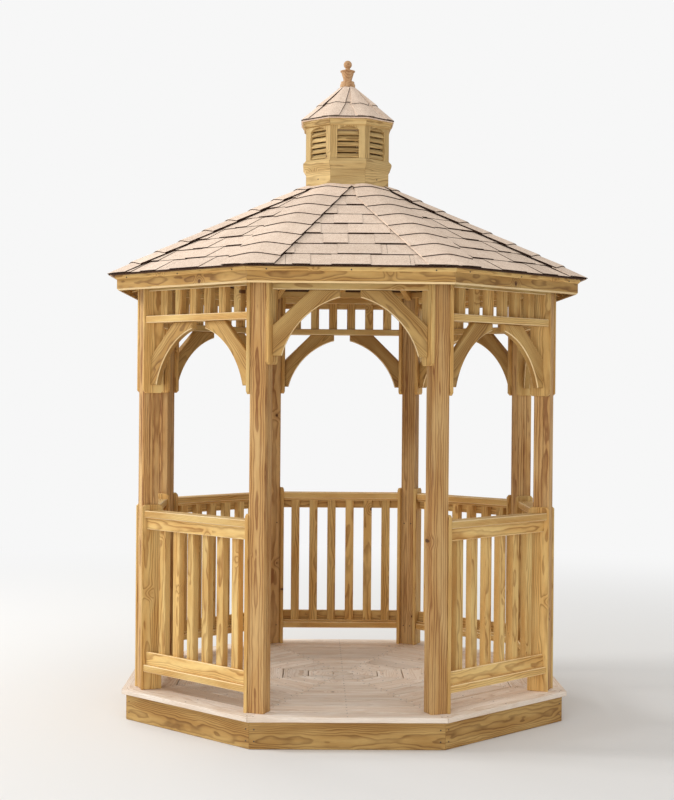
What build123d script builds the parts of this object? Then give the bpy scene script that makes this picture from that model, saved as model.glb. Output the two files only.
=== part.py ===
"""Octagonal garden gazebo with railed bays, arched corner braces, a shingled roof and a louvred cupola.

Millimetres. The origin is on the ground under the middle of the floor, +Z is up, and the open
entrance bay faces -Y.
"""

import math
import os

from build123d import *

os.makedirs("parts", exist_ok=True)

# The plan: eight equal bays with a post at each corner
bay_count = 8
turn = 360 / bay_count
half_turn = math.radians(turn / 2)
fit = 0.4

# Platform
skirt_flats = 2388
skirt_height = 140
skirt_thickness = 38
deck_overhang = 25
deck_thickness = 26
border_width = 140
joist_width = 38
hub_flats = 220

# Posts, set in from the corners of the skirt
post_setback = 72
post_size = 89
post_easing = 5
post_height = 2240
flute_width = 5
flute_depth = 3
flute_spacing = 20

# Side boards that carry the panels, flat against the sides of the posts
stile_thickness = 19
stile_proud = 6
stile_width = 114
stile_clip = 14

# Railing panels
cap_top = 978
cap_thickness = 38
flat_width = 89
rail_thickness = 19
rail_setback = 16
top_rail_height = 64
bottom_rail_height = 70
foot_gap = 100
strip_thickness = 13
baluster_width = 53
baluster_depth = 38
baluster_count = 6
stile_above_cap = 32

# Valance panels over the railed bays, and the header over the entrance
valance_height = 240
valance_rail_height = 68
spindle_count = 6
header_height = 89
header_thickness = 38

# Corner braces
brace_thickness = 38
brace_between = 102
brace_drop = 338
brace_back = 184
brace_nib = 38
brace_foot = 43
brace_sag = 57
stile_below_brace = 44

# Roof
roof_pitch = 27
eave_reach = 222.5
shingle_thickness = 10
board_thickness = 12
board_setback = 24
plate_thickness = 38
plate_width = 89
rafter_width = 38
rafter_depth = 89
rafter_above_plate = 75.5
rafter_tail_lift = 20
hip_depth = 140
hip_heel_drop = 50
fascia_setback = 51
fascia_thickness = 19
fascia_height = 91
strip_height = 25
strip_depth = 12

# Cupola
lantern_flats = 475
lantern_wall = 19
lantern_height = 184
curb_setback = 1.5
curb_wall = 30
curb_below_roof = 110
curb_above_roof = 77
sill_projection = 15.5
sill_edge = 16
sill_height = 65
louver_opening = 121
louver_head = 25
louver_arch = 21
louver_count = 6
louver_thickness = 7
louver_tilt = 55
louver_setback = 3
crown_projection = 17.5
crown_edge = 14
crown_height = 37
cap_roof_overhang = 10
cap_roof_pitch = 42.8
cap_roof_edge = 8

# Finial
finial_foot_radius = 44
finial_foot_lap = 5
finial_foot_height = 20
finial_bevel = 6
finial_ring_radius = 39
finial_ring_height = 10
finial_waist_radius = 24
finial_cup_height = 57
finial_cup_swell = 7
finial_cup_radius = 37
finial_rim_radius = 43
finial_rim_height = 6
finial_neck_radius = 12
finial_shoulder_height = 10
finial_neck_height = 5
finial_ball_radius = 24

# Heights and distances that follow from the sizes above
corner_ratio = math.cos(half_turn)
deck_level = skirt_height + deck_thickness
deck_apothem = skirt_flats / 2 + deck_overhang
post_ring = skirt_flats / 2 / corner_ratio - post_setback - post_size / 2
post_top = deck_level + post_height
plate_top = post_top + plate_thickness
bay_line = post_ring * corner_ratio
stile_side = post_size / 2 + fit
bay_clear = stile_side + stile_thickness
panel_clear = bay_clear + fit
stile_middle = post_ring + post_size / 2 + stile_proud - stile_width / 2
panel_line = stile_middle * corner_ratio + panel_clear * math.sin(half_turn)
rail_outer = panel_line + flat_width / 2 - rail_setback
rail_inner = rail_outer - rail_thickness
baluster_inner = rail_inner - baluster_depth
flat_inner = panel_line - flat_width / 2
flat_outer = panel_line + flat_width / 2
valance_low = post_top - valance_height
header_low = post_top - header_height
slope = math.tan(math.radians(roof_pitch))
layer_drop = shingle_thickness + board_thickness / math.cos(math.radians(roof_pitch))
eave_apothem = bay_line + eave_reach

BAY_NAMES = [
    "front",
    "front_right",
    "right",
    "back_right",
    "back",
    "back_left",
    "left",
    "front_left",
]
POST_NAMES = [
    "post_front_right",
    "post_right_front",
    "post_right_back",
    "post_back_right",
    "post_back_left",
    "post_left_back",
    "post_left_front",
    "post_front_left",
]


def outward(angle):
    """Return the level direction that points out of the gazebo, angle degrees round from the front."""
    return Vector(math.sin(math.radians(angle)), -math.cos(math.radians(angle)), 0)


def along(angle):
    """Return the level direction that runs to the right of outward(angle)."""
    return Vector(math.cos(math.radians(angle)), math.sin(math.radians(angle)), 0)


def floor_plane(angle, height):
    """Return a level plane whose x runs along a bay and whose -y points out of it."""
    return Plane(origin=(0, 0, height), x_dir=along(angle), z_dir=(0, 0, 1))


def upright_plane(angle, distance):
    """Return an upright plane across a bay: x along it, y up, z outward."""
    return Plane(origin=outward(angle) * distance, x_dir=along(angle), z_dir=outward(angle))


def side_view_plane(angle):
    """Return the upright plane through the centre whose x points outward and whose y points up."""
    return Plane(origin=(0, 0, 0), x_dir=outward(angle), z_dir=along(angle) * -1)


def half_side(distance, clearance=0.0):
    """Return half the length of a bay at a distance from the centre, less a clearance at each mitre."""
    return distance * math.tan(half_turn) - clearance / corner_ratio


def roof_height(distance):
    """Return the height of the top of the roof at a distance from the centre, along a bay's middle."""
    return plate_top + rafter_above_plate + fit + layer_drop + (bay_line - distance) * slope


def rafter_top(distance):
    """Return the height of a rafter's top edge at a distance from the centre, along a bay's middle."""
    return roof_height(distance) - layer_drop - fit


def save(builder, name):
    """Label a finished piece and write it under its own name."""
    builder.part.label = name
    export_step(builder.part, f"parts/{name}.step")


def bay_bar(angle, inner, outer, low, high, clearance):
    """Add a level bar between two distances from the centre, its ends cut to meet the corners."""
    with BuildSketch(floor_plane(angle, low)) as outline:
        with BuildLine():
            Polyline(
                (-half_side(inner, clearance), -inner),
                (half_side(inner, clearance), -inner),
                (half_side(outer, clearance), -outer),
                (-half_side(outer, clearance), -outer),
                close=True,
            )
        make_face()
    extrude(outline.sketch, amount=high - low)


def mitred_moulding(angle, section, clearance):
    """Return a bay's length of moulding: a section in distance and height, cut to meet at the corners."""
    with BuildSketch(side_view_plane(angle)) as side_view:
        with BuildLine():
            Polyline(*section, close=True)
        make_face()
    reach = half_side(max(distance for distance, height in section)) + 1
    with BuildPart(mode=Mode.PRIVATE) as moulding:
        extrude(side_view.sketch, amount=reach, both=True)
        for side in (-1, 1):
            corner = angle + side * turn / 2
            mitre = Plane(
                origin=along(corner) * (-side * clearance),
                x_dir=(0, 0, 1),
                z_dir=along(corner) * side,
            )
            split(bisect_by=mitre, keep=Keep.BOTTOM)
    return moulding.part


def octagon(flats, height):
    """Return the sketch of an octagon, flat side to the front, at a height."""
    with BuildSketch(Plane.XY.offset(height)) as outline:
        RegularPolygon(flats / 2, bay_count, major_radius=False, rotation=turn / 2)
    return outline.sketch


def side_board(angle, side, low, high, clip_top, clip_foot):
    """Add the board against one side of a post; side is 1 where it lies to the right of the post."""
    face = Plane(
        origin=outward(angle) * stile_middle + along(angle) * (side * stile_side),
        x_dir=outward(angle) * -side,
        z_dir=along(angle) * side,
    )
    with BuildSketch(face) as outline:
        with Locations((0, (low + high) / 2)):
            Rectangle(stile_width, high - low)
        if clip_top:
            chamfer(outline.vertices().group_by(Axis.Z)[-1], stile_clip)
        if clip_foot:
            chamfer(outline.vertices().group_by(Axis.Z)[0], stile_clip)
    extrude(outline.sketch, amount=stile_thickness)


def bay_stiles(angle, low, high, clip_top, clip_foot):
    """Add the two side boards of a bay, one against the post at each end."""
    side_board(angle - turn / 2, 1, low, high, clip_top, clip_foot)
    side_board(angle + turn / 2, -1, low, high, clip_top, clip_foot)


def upright_bars(angle, count, low, high):
    """Add the evenly spaced square uprights of a panel."""
    span = 2 * half_side((baluster_inner + rail_inner) / 2, panel_clear)
    pitch = (span + baluster_width) / (count + 1)
    with BuildSketch(floor_plane(angle, low)) as outline:
        with Locations((0, -(baluster_inner + rail_inner) / 2)):
            with GridLocations(pitch, 0, count, 1):
                Rectangle(baluster_width, baluster_depth)
    extrude(outline.sketch, amount=high - low)


# Floor joists like spokes, to every corner and to the middle of every skirt board, round a hub
joist_reach = skirt_flats / 2 - skirt_thickness - fit
with BuildPart() as floor_joists:
    with BuildSketch():
        with PolarLocations(0, bay_count, angular_range=180):
            Rectangle(2 * skirt_flats, joist_width)
        add(octagon(2 * joist_reach, 0), mode=Mode.INTERSECT)
        add(octagon(hub_flats + 2 * fit, 0), mode=Mode.SUBTRACT)
    extrude(amount=skirt_height)
save(floor_joists, "floor_joists")

with BuildPart() as floor_hub:
    extrude(octagon(hub_flats, 0), amount=skirt_height)
save(floor_hub, "floor_hub")

# Skirt boards, mitred at the corners
with BuildPart() as skirt_boards:
    for bay in range(bay_count):
        bay_bar(bay * turn, skirt_flats / 2 - skirt_thickness, skirt_flats / 2, 0, skirt_height, fit / 2)
save(skirt_boards, "skirt_boards")

# Deck: a border of mitred boards round the laid floor
border_inner = deck_apothem - border_width
with BuildPart() as deck_border:
    for bay in range(bay_count):
        bay_bar(bay * turn, border_inner, deck_apothem, skirt_height, deck_level, fit / 2)
save(deck_border, "deck_border")

with BuildPart() as deck_floor:
    extrude(octagon(2 * (border_inner - fit), skirt_height), amount=deck_thickness)
save(deck_floor, "deck_floor")

# Posts, square to the lines from the centre, with two flutes down each side face
for corner in range(bay_count):
    angle = (corner + 0.5) * turn
    with BuildPart() as post:
        with BuildSketch(floor_plane(angle, deck_level)):
            with Locations((0, -post_ring)):
                RectangleRounded(post_size, post_size, post_easing)
                for side in (-1, 1):
                    for step in (-0.5, 0.5):
                        with Locations((side * post_size / 2, step * flute_spacing)):
                            Rectangle(2 * flute_depth, flute_width, mode=Mode.SUBTRACT)
        extrude(amount=post_height)
    save(post, POST_NAMES[corner])

# Railing panels in every bay but the entrance
cap_high = deck_level + cap_top
cap_low = cap_high - cap_thickness
foot_low = deck_level + foot_gap
foot_high = foot_low + cap_thickness
for bay in range(1, bay_count):
    angle = bay * turn
    with BuildPart() as railing:
        bay_stiles(angle, deck_level, cap_high + stile_above_cap, True, False)
        bay_bar(angle, flat_inner, flat_outer, cap_low, cap_high, panel_clear)
        bay_bar(angle, rail_inner, rail_outer, cap_low - top_rail_height, cap_low, panel_clear)
        bay_bar(angle, baluster_inner, rail_inner, cap_low - strip_thickness, cap_low, panel_clear)
        bay_bar(angle, flat_inner, flat_outer, foot_low, foot_high, panel_clear)
        bay_bar(angle, rail_inner, rail_outer, foot_high, foot_high + bottom_rail_height, panel_clear)
        bay_bar(angle, baluster_inner, rail_inner, foot_high, foot_high + strip_thickness, panel_clear)
        upright_bars(angle, baluster_count, foot_high, cap_low)
    save(railing, f"railing_{BAY_NAMES[bay]}")

# Valance panels over the railed bays
brace_end = stile_below_brace + brace_drop
spindle_foot = valance_low + cap_thickness
for bay in range(1, bay_count):
    angle = bay * turn
    with BuildPart() as valance:
        bay_stiles(angle, valance_low - brace_end, post_top, False, True)
        bay_bar(angle, flat_inner, flat_outer, valance_low, spindle_foot, panel_clear)
        bay_bar(angle, flat_inner, rail_inner, post_top - cap_thickness, post_top, panel_clear)
        bay_bar(angle, rail_inner, rail_outer, post_top - valance_rail_height, post_top, panel_clear)
        upright_bars(angle, spindle_count, spindle_foot, post_top - cap_thickness)
    save(valance, f"valance_{BAY_NAMES[bay]}")

# Header over the entrance
header_inner = panel_line - header_thickness / 2
header_outer = panel_line + header_thickness / 2
with BuildPart() as front_header:
    bay_stiles(0, header_low - brace_end, post_top, False, True)
    bay_bar(0, header_inner, header_outer, header_low, post_top, panel_clear)
save(front_header, "front_header")


def brace_outline(angle, side, head):
    """Return one brace's outline on its panel's plane: a straight back and a hollow arched front."""
    edge = half_side(panel_line, bay_clear)
    reach = edge - brace_between / 2
    margin = brace_thickness

    def spot(x, drop):
        return (side * (edge - x), head - drop)

    foot = (brace_foot, brace_drop)
    nib = (reach, brace_nib)
    span = math.hypot(nib[0] - foot[0], nib[1] - foot[1])
    unit = ((foot[1] - nib[1]) / span, (nib[0] - foot[0]) / span)
    crest = ((foot[0] + nib[0]) / 2 - unit[0] * brace_sag, (foot[1] + nib[1]) / 2 - unit[1] * brace_sag)
    with BuildSketch(upright_plane(angle, panel_line - brace_thickness / 2)) as outline:
        with BuildLine():
            ThreePointArc(spot(*foot), spot(*crest), spot(*nib))
            Polyline(
                spot(*nib),
                spot(reach, fit),
                spot(brace_back, fit),
                spot(-margin, brace_back + margin),
                spot(-margin, brace_drop),
                spot(*foot),
            )
        make_face()
    return outline.sketch


def brace(angle, side, head):
    """Return one brace, its back cut to the slant of the side board that it stands against."""
    corner = angle + side * turn / 2
    board_face = Plane(
        origin=outward(corner) * post_ring - along(corner) * (side * panel_clear),
        x_dir=(0, 0, 1),
        z_dir=along(corner) * side,
    )
    with BuildPart(mode=Mode.PRIVATE) as piece:
        extrude(brace_outline(angle, side, head), amount=brace_thickness)
        split(bisect_by=board_face, keep=Keep.BOTTOM)
    return piece.part


# Two braces in each bay
for bay in range(bay_count):
    head = header_low if bay == 0 else valance_low
    pair = [brace(bay * turn, side, head) for side in (-1, 1)]
    with BuildPart() as braces:
        add(pair)
    save(braces, f"braces_{BAY_NAMES[bay]}")

# Plates on the post tops
plate_inner = bay_line - plate_width / 2
plate_outer = bay_line + plate_width / 2
with BuildPart() as top_plates:
    for bay in range(bay_count):
        bay_bar(bay * turn, plate_inner, plate_outer, post_top, plate_top, fit / 2)
save(top_plates, "top_plates")

# Fascia boards under the eaves and the narrow strips along their tops
fascia_outer = eave_apothem - fascia_setback
fascia_inner = fascia_outer - fascia_thickness
fascia_high = rafter_top(fascia_outer)
fascia_low = fascia_high - fascia_height
with BuildPart() as fascia_boards:
    for bay in range(bay_count):
        bay_bar(bay * turn, fascia_inner, fascia_outer, fascia_low, fascia_high, fit / 2)
save(fascia_boards, "fascia_boards")

strip_outer = fascia_outer + strip_depth
strip_top = rafter_top(strip_outer)
with BuildPart() as eave_strips:
    for bay in range(bay_count):
        bay_bar(bay * turn, fascia_outer, strip_outer, strip_top - strip_height, strip_top, fit / 2)
save(eave_strips, "eave_strips")

# Rafters: a hip over each post and a common rafter over each bay, notched over the plates
curb_apothem = lantern_flats / 2 - curb_setback
hip_overlap = rafter_width / 2 * math.tan(half_turn)
hip_outer = fascia_inner / corner_ratio - hip_overlap - fit
hip_inner = curb_apothem / corner_ratio + hip_overlap + fit
hip_bevel = rafter_width / 2 * math.sin(half_turn) * slope
hip_heel = max(post_ring + post_size / 2, plate_outer / corner_ratio) + fit
common_heel = max(plate_outer, rail_outer) + fit
hip_seat = plate_inner / corner_ratio - hip_overlap - fit
hip_fall = hip_depth / math.cos(math.atan(slope * corner_ratio))
common_fall = rafter_depth / math.cos(math.radians(roof_pitch))
common_inner = curb_apothem + fit
common_outer = fascia_inner - fit
with BuildPart() as roof_rafters:
    for corner in range(bay_count):
        with BuildSketch(side_view_plane((corner + 0.5) * turn)) as side_view:
            with BuildLine():
                Polyline(
                    (hip_inner, rafter_top(hip_inner * corner_ratio) - hip_bevel),
                    (hip_outer, rafter_top(hip_outer * corner_ratio) - hip_bevel),
                    (hip_outer, fascia_low),
                    (hip_heel, post_top - hip_heel_drop),
                    (hip_heel, plate_top + fit),
                    (hip_seat, plate_top + fit),
                    (hip_seat, rafter_top(hip_seat * corner_ratio) - hip_fall),
                    (hip_inner, rafter_top(hip_inner * corner_ratio) - hip_fall),
                    close=True,
                )
            make_face()
        extrude(side_view.sketch, amount=rafter_width / 2, both=True)
    for bay in range(bay_count):
        with BuildSketch(side_view_plane(bay * turn)) as side_view:
            with BuildLine():
                Polyline(
                    (common_inner, rafter_top(common_inner)),
                    (common_outer, rafter_top(common_outer)),
                    (common_outer, rafter_top(common_outer) - common_fall + rafter_tail_lift),
                    (common_heel, rafter_top(common_heel) - common_fall),
                    (common_heel, plate_top + fit),
                    (plate_inner - fit, plate_top + fit),
                    (plate_inner - fit, rafter_top(plate_inner) - common_fall),
                    (common_inner, rafter_top(common_inner) - common_fall),
                    close=True,
                )
            make_face()
        extrude(side_view.sketch, amount=rafter_width / 2, both=True)
save(roof_rafters, "roof_rafters")


def roof_layer(angle, outer, inner, top_drop, bottom_drop, clearance):
    """Return one sloping side of the roof between two depths below its surface."""
    section = [
        (inner, roof_height(inner) - top_drop),
        (outer, roof_height(outer) - top_drop),
        (outer, roof_height(outer) - bottom_drop),
        (inner, roof_height(inner) - bottom_drop),
    ]
    return mitred_moulding(angle, section, clearance)


# Roof boards and shingles, one sloping piece over each bay
board_outer = eave_apothem - board_setback
layer_inner = curb_apothem + fit
board_layers = [
    roof_layer(bay * turn, board_outer, layer_inner, shingle_thickness + fit, layer_drop, fit / 2)
    for bay in range(bay_count)
]
with BuildPart() as roof_boards:
    add(board_layers)
save(roof_boards, "roof_boards")

shingle_layers = [
    roof_layer(bay * turn, eave_apothem, layer_inner, 0, shingle_thickness, fit / 2)
    for bay in range(bay_count)
]
with BuildPart() as roof_shingles:
    add(shingle_layers)
save(roof_shingles, "roof_shingles")

# Cupola curb, an open octagonal box of mitred boards that the rafters meet
curb_low = rafter_top(curb_apothem) - curb_below_roof
curb_high = roof_height(curb_apothem) + curb_above_roof
with BuildPart() as cupola_curb:
    for bay in range(bay_count):
        bay_bar(bay * turn, curb_apothem - curb_wall, curb_apothem, curb_low, curb_high, fit / 2)
save(cupola_curb, "cupola_curb")

# Sill with a sloping underside
sill_top = curb_high + sill_height
sill_apothem = lantern_flats / 2 + sill_projection
lantern_inner = lantern_flats / 2 - lantern_wall
sill_section = [
    (lantern_inner, curb_high),
    (curb_apothem, curb_high),
    (sill_apothem, sill_top - sill_edge),
    (sill_apothem, sill_top),
    (lantern_inner, sill_top),
]
sill_lengths = [mitred_moulding(bay * turn, sill_section, fit / 2) for bay in range(bay_count)]
with BuildPart() as cupola_sill:
    add(sill_lengths)
save(cupola_sill, "cupola_sill")

# Lantern walls, one board to each side with an arched louvre opening
lantern_top = sill_top + lantern_height
louver_rise = lantern_height - louver_head
spring_line = sill_top + louver_rise


def louver_outline(angle, clearance):
    """Return the arched outline of a louvre opening, less a clearance all round."""
    half = louver_opening / 2 - clearance
    foot = sill_top + clearance
    with BuildSketch(upright_plane(angle, 0)) as opening:
        with BuildLine():
            Polyline((half, spring_line), (half, foot), (-half, foot), (-half, spring_line))
            ThreePointArc(
                (-half, spring_line),
                (0, spring_line + louver_arch - clearance),
                (half, spring_line),
            )
        make_face()
    return opening.sketch


with BuildPart() as cupola_walls:
    for bay in range(bay_count):
        bay_bar(bay * turn, lantern_inner, lantern_flats / 2, sill_top, lantern_top, fit / 2)
        extrude(louver_outline(bay * turn, 0), amount=lantern_flats, mode=Mode.SUBTRACT)
save(cupola_walls, "cupola_walls")

# Louvre slats, each as deep as brings it level with the next, the top one cut to the arch
slat_pitch = louver_rise / (louver_count - 1)
slat_lean = math.radians(louver_tilt)
slat_depth = (slat_pitch - louver_thickness * math.cos(slat_lean)) / math.sin(slat_lean)
slat_reach = (slat_depth * math.cos(slat_lean) + louver_thickness * math.sin(slat_lean)) / 2
slat_distance = lantern_flats / 2 - louver_setback - slat_reach


def louver_set(angle):
    """Return the slats of one opening."""
    facing = outward(angle) * math.sin(slat_lean) + Vector(0, 0, math.cos(slat_lean))
    with BuildPart(mode=Mode.PRIVATE) as slats:
        for slat in range(louver_count):
            height = sill_top + (slat + 0.5) * slat_pitch + fit
            centre = outward(angle) * slat_distance + Vector(0, 0, height)
            with BuildSketch(Plane(origin=centre, x_dir=along(angle), z_dir=facing)) as slat_outline:
                Rectangle(louver_opening, slat_depth)
            extrude(slat_outline.sketch, amount=louver_thickness / 2, both=True)
        extrude(louver_outline(angle, fit), amount=lantern_flats, mode=Mode.INTERSECT)
    return slats.part


louver_sets = [louver_set(bay * turn) for bay in range(bay_count)]
with BuildPart() as cupola_louvers:
    add(louver_sets)
save(cupola_louvers, "cupola_louvers")

# Crown moulding round the top of the lantern
crown_top = lantern_top + crown_height
crown_apothem = lantern_flats / 2 + crown_projection
crown_section = [
    (lantern_inner, lantern_top),
    (lantern_flats / 2, lantern_top),
    (crown_apothem, crown_top - crown_edge),
    (crown_apothem, crown_top),
    (lantern_inner, crown_top),
]
crown_lengths = [mitred_moulding(bay * turn, crown_section, fit / 2) for bay in range(bay_count)]
with BuildPart() as cupola_crown:
    add(crown_lengths)
save(cupola_crown, "cupola_crown")

# Cupola roof, an octagonal pyramid cut off under the finial
cap_roof_apothem = crown_apothem + cap_roof_overhang
cap_roof_head = finial_foot_radius - finial_foot_lap
cap_roof_low = crown_top + cap_roof_edge
cap_roof_top = cap_roof_low + (cap_roof_apothem - cap_roof_head) * math.tan(math.radians(cap_roof_pitch))
with BuildPart() as cupola_roof:
    extrude(octagon(2 * cap_roof_apothem, crown_top), amount=cap_roof_edge)
    loft([octagon(2 * cap_roof_apothem, cap_roof_low), octagon(2 * cap_roof_head, cap_roof_top)])
save(cupola_roof, "cupola_roof")

# Turned finial: a foot and ring, a cup, and a ball on a neck
foot_top = cap_roof_top + finial_foot_height
ring_foot = foot_top + finial_bevel
ring_top = ring_foot + finial_ring_height
cup_low = ring_top + finial_bevel
rim_low = cup_low + finial_cup_height - finial_rim_height
rim_high = rim_low + finial_rim_height
neck_low = rim_high + finial_shoulder_height
ball_sink = math.sqrt(finial_ball_radius**2 - finial_neck_radius**2)
ball_low = neck_low + finial_neck_height
ball_centre = ball_low + ball_sink
with BuildPart() as cupola_finial:
    with BuildSketch(Plane.XZ):
        with BuildLine():
            Polyline(
                (0, cap_roof_top),
                (finial_foot_radius, cap_roof_top),
                (finial_foot_radius, foot_top),
                (finial_ring_radius, ring_foot),
                (finial_ring_radius, ring_top),
                (finial_waist_radius, cup_low),
            )
            Spline(
                (finial_waist_radius, cup_low),
                (finial_waist_radius + finial_cup_swell, (cup_low + rim_low) / 2),
                (finial_cup_radius, rim_low),
            )
            Polyline(
                (finial_cup_radius, rim_low),
                (finial_rim_radius, rim_low),
                (finial_rim_radius, rim_high),
                (finial_neck_radius + finial_bevel, neck_low - finial_bevel),
                (finial_neck_radius, neck_low),
                (finial_neck_radius, ball_low),
            )
            ThreePointArc(
                (finial_neck_radius, ball_low),
                (finial_ball_radius, ball_centre),
                (0, ball_centre + finial_ball_radius),
            )
            Line((0, ball_centre + finial_ball_radius), (0, cap_roof_top))
        make_face()
    revolve(axis=Axis.Z)
save(cupola_finial, "cupola_finial")
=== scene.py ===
"""Garden gazebo with a slatted cupola, dressed board by board over its measured parts.

Lengths are in metres, heights from the ground and distances from the upright axis through the floor's
middle. A board is an outline carried along a line; its mesh keeps two attributes, the grain (where a
point lies in the log that the board was sawn from) and the tone of the board.
"""
import logging
import math
from dataclasses import dataclass
from enum import Enum
from typing import Sequence

import bpy
import numpy as np
from mathutils import Matrix


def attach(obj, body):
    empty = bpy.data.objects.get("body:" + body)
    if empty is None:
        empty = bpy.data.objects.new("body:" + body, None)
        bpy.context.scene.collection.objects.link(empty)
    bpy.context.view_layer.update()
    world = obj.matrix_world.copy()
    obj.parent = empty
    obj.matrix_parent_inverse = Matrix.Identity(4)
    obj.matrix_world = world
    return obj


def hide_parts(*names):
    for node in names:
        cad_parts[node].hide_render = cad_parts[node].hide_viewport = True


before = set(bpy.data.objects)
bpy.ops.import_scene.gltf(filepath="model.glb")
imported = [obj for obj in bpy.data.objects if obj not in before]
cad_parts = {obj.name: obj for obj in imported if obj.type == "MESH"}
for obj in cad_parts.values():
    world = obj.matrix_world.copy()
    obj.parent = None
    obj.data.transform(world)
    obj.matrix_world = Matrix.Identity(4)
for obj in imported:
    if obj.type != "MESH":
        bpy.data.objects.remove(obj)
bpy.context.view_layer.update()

LOG = logging.getLogger("gazebo")
Array = np.ndarray
Level = float | Array
Material = bpy.types.Material
Socket = bpy.types.NodeSocket
Value = Socket | float | tuple

SIDES = range(8)
TURN = math.pi / 4
TAN = math.tan(TURN / 2)
COS = math.cos(TURN / 2)
UP = np.array((0.0, 0.0, 1.0))
BAYS = ("front", "front_right", "right", "back_right", "back", "back_left", "left", "front_left")
POSTS = (
    "front_right", "right_front", "right_back", "back_right",
    "back_left", "left_back", "left_front", "front_left",
)


def outward(angle: float) -> Array:
    """Return the level unit vector that points from the centre at an angle from the front."""
    return np.array((math.sin(angle), -math.cos(angle), 0.0))


def along(angle: float) -> Array:
    """Return the level unit vector that points to the right of one who faces the centre."""
    return np.array((math.cos(angle), math.sin(angle), 0.0))


def half_side(distance: float, clearance: float = 0.0) -> float:
    """Return half a bay's length at a distance from the centre, less a clearance at each corner."""
    return distance * TAN - clearance / COS


@dataclass(frozen=True)
class Plan:
    """The sizes that more than one sub-assembly shares; a sum follows from the sizes above it."""

    fit: float = 0.0004
    mitre: float = 0.0006
    joint: float = 0.0008
    ease: float = 0.003
    skirt_apothem: float = 1.194
    skirt_height: float = 0.140
    skirt_thickness: float = 0.038
    deck_apothem: float = 1.219
    deck_thickness: float = 0.026
    deck_level: float = skirt_height + deck_thickness

    post_size: float = 0.089
    post_height: float = 2.240
    post_setback: float = 0.072
    post_ring: float = skirt_apothem / COS - post_setback - post_size / 2
    post_top: float = deck_level + post_height
    bay_line: float = post_ring * COS
    plate_thickness: float = 0.038
    plate_width: float = 0.089
    plate_top: float = post_top + plate_thickness

    board_width: float = 0.114
    board_thickness: float = 0.019
    board_proud: float = 0.006
    board_clip: float = 0.014
    board_middle: float = post_ring + post_size / 2 + board_proud - board_width / 2
    board_side: float = post_size / 2 + fit
    panel_clear: float = board_side + board_thickness + fit
    panel_line: float = board_middle * COS + panel_clear * math.sin(TURN / 2)

    flat_thickness: float = 0.038
    flat_width: float = 0.089
    flat_outer: float = panel_line + flat_width / 2
    flat_inner: float = panel_line - flat_width / 2
    rail_thickness: float = 0.019
    rail_setback: float = 0.016
    rail_outer: float = flat_outer - rail_setback
    rail_inner: float = rail_outer - rail_thickness
    rail_gap: float = 0.0014
    baluster_width: float = 0.053
    baluster_depth: float = 0.038
    baluster_inner: float = rail_inner - baluster_depth
    baluster_count: int = 6

    header_height: float = 0.089
    header_thickness: float = 0.038
    header_low: float = post_top - header_height
    valance_height: float = 0.240
    valance_low: float = post_top - valance_height
    brace_drop: float = 0.338
    below_brace: float = 0.044

    pitch: float = math.radians(27)
    slope: float = math.tan(pitch)
    run_part: float = math.cos(math.atan(slope))
    rafter_above_plate: float = 0.0755
    shingles: float = 0.010
    boarding: float = 0.012
    layer_drop: float = shingles + boarding / math.cos(pitch)
    eave_reach: float = 0.2225
    eave_apothem: float = bay_line + eave_reach
    lantern_apothem: float = 0.2375
    curb_setback: float = 0.0015
    curb_apothem: float = lantern_apothem - curb_setback

    def roof_height(self, distance: float) -> float:
        """Return the height of the shingles' upper surface at a distance from the centre."""
        return self.rafter_top(distance) + self.layer_drop + self.fit

    def rafter_top(self, distance: float) -> float:
        """Return the height of a rafter's upper edge at a distance from the centre."""
        return self.plate_top + self.rafter_above_plate + (self.bay_line - distance) * self.slope


PLAN = Plan()
DIAGONAL = math.sqrt(0.5)


class Grain(Enum):
    """Which way the grain runs in a board's own axes: the along, across and through directions."""

    RUN = ((0.0, 0.0, 1.0), (1.0, 0.0, 0.0), (0.0, 1.0, 0.0))
    STAND = ((0.0, 0.0, 1.0), (0.0, 1.0, 0.0), (1.0, 0.0, 0.0))
    RISE = ((0.0, 1.0, 0.0), (1.0, 0.0, 0.0), (0.0, 0.0, 1.0))
    REACH = ((1.0, 0.0, 0.0), (0.0, 1.0, 0.0), (0.0, 0.0, 1.0))
    LEAN_RIGHT = ((DIAGONAL, DIAGONAL, 0.0), (-DIAGONAL, DIAGONAL, 0.0), (0.0, 0.0, 1.0))
    LEAN_LEFT = ((-DIAGONAL, DIAGONAL, 0.0), (DIAGONAL, DIAGONAL, 0.0), (0.0, 0.0, 1.0))


class Slot(Enum):
    """The record's material slots."""

    TIMBER = "timber"
    DECK = "deck_timber"
    SHINGLES = "shingles"


@dataclass(frozen=True)
class Place:
    """Where a form lies: its origin and the rows of its three unit axes."""

    origin: Array
    axes: Array

    def world(self, points: Array) -> Array:
        """Return points given in this place's axes as points of the whole object."""
        return self.origin + points @ self.axes

    def moved(self, first: float = 0.0, second: float = 0.0, third: float = 0.0) -> "Place":
        """Return the same axes at an origin shifted along them."""
        return Place(self.origin + np.array((first, second, third)) @ self.axes, self.axes)


WORLD = Place(np.zeros(3), np.eye(3))


def bar_place(angle: float) -> Place:
    """Return axes outward, up and along a bay, for level bars."""
    return Place(np.zeros(3), np.array((outward(angle), UP, -along(angle))))


def upright_place(angle: float, distance: float, offset: float = 0.0) -> Place:
    """Return axes along a bay, inward and up, for uprights at a distance and an offset along it."""
    origin = outward(angle) * distance + along(angle) * offset
    return Place(origin, np.array((along(angle), -outward(angle), UP)))


def face_place(angle: float, distance: float = 0.0) -> Place:
    """Return axes along a bay, up and outward, for boards cut to an outline."""
    return Place(outward(angle) * distance, np.array((along(angle), UP, outward(angle))))


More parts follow.
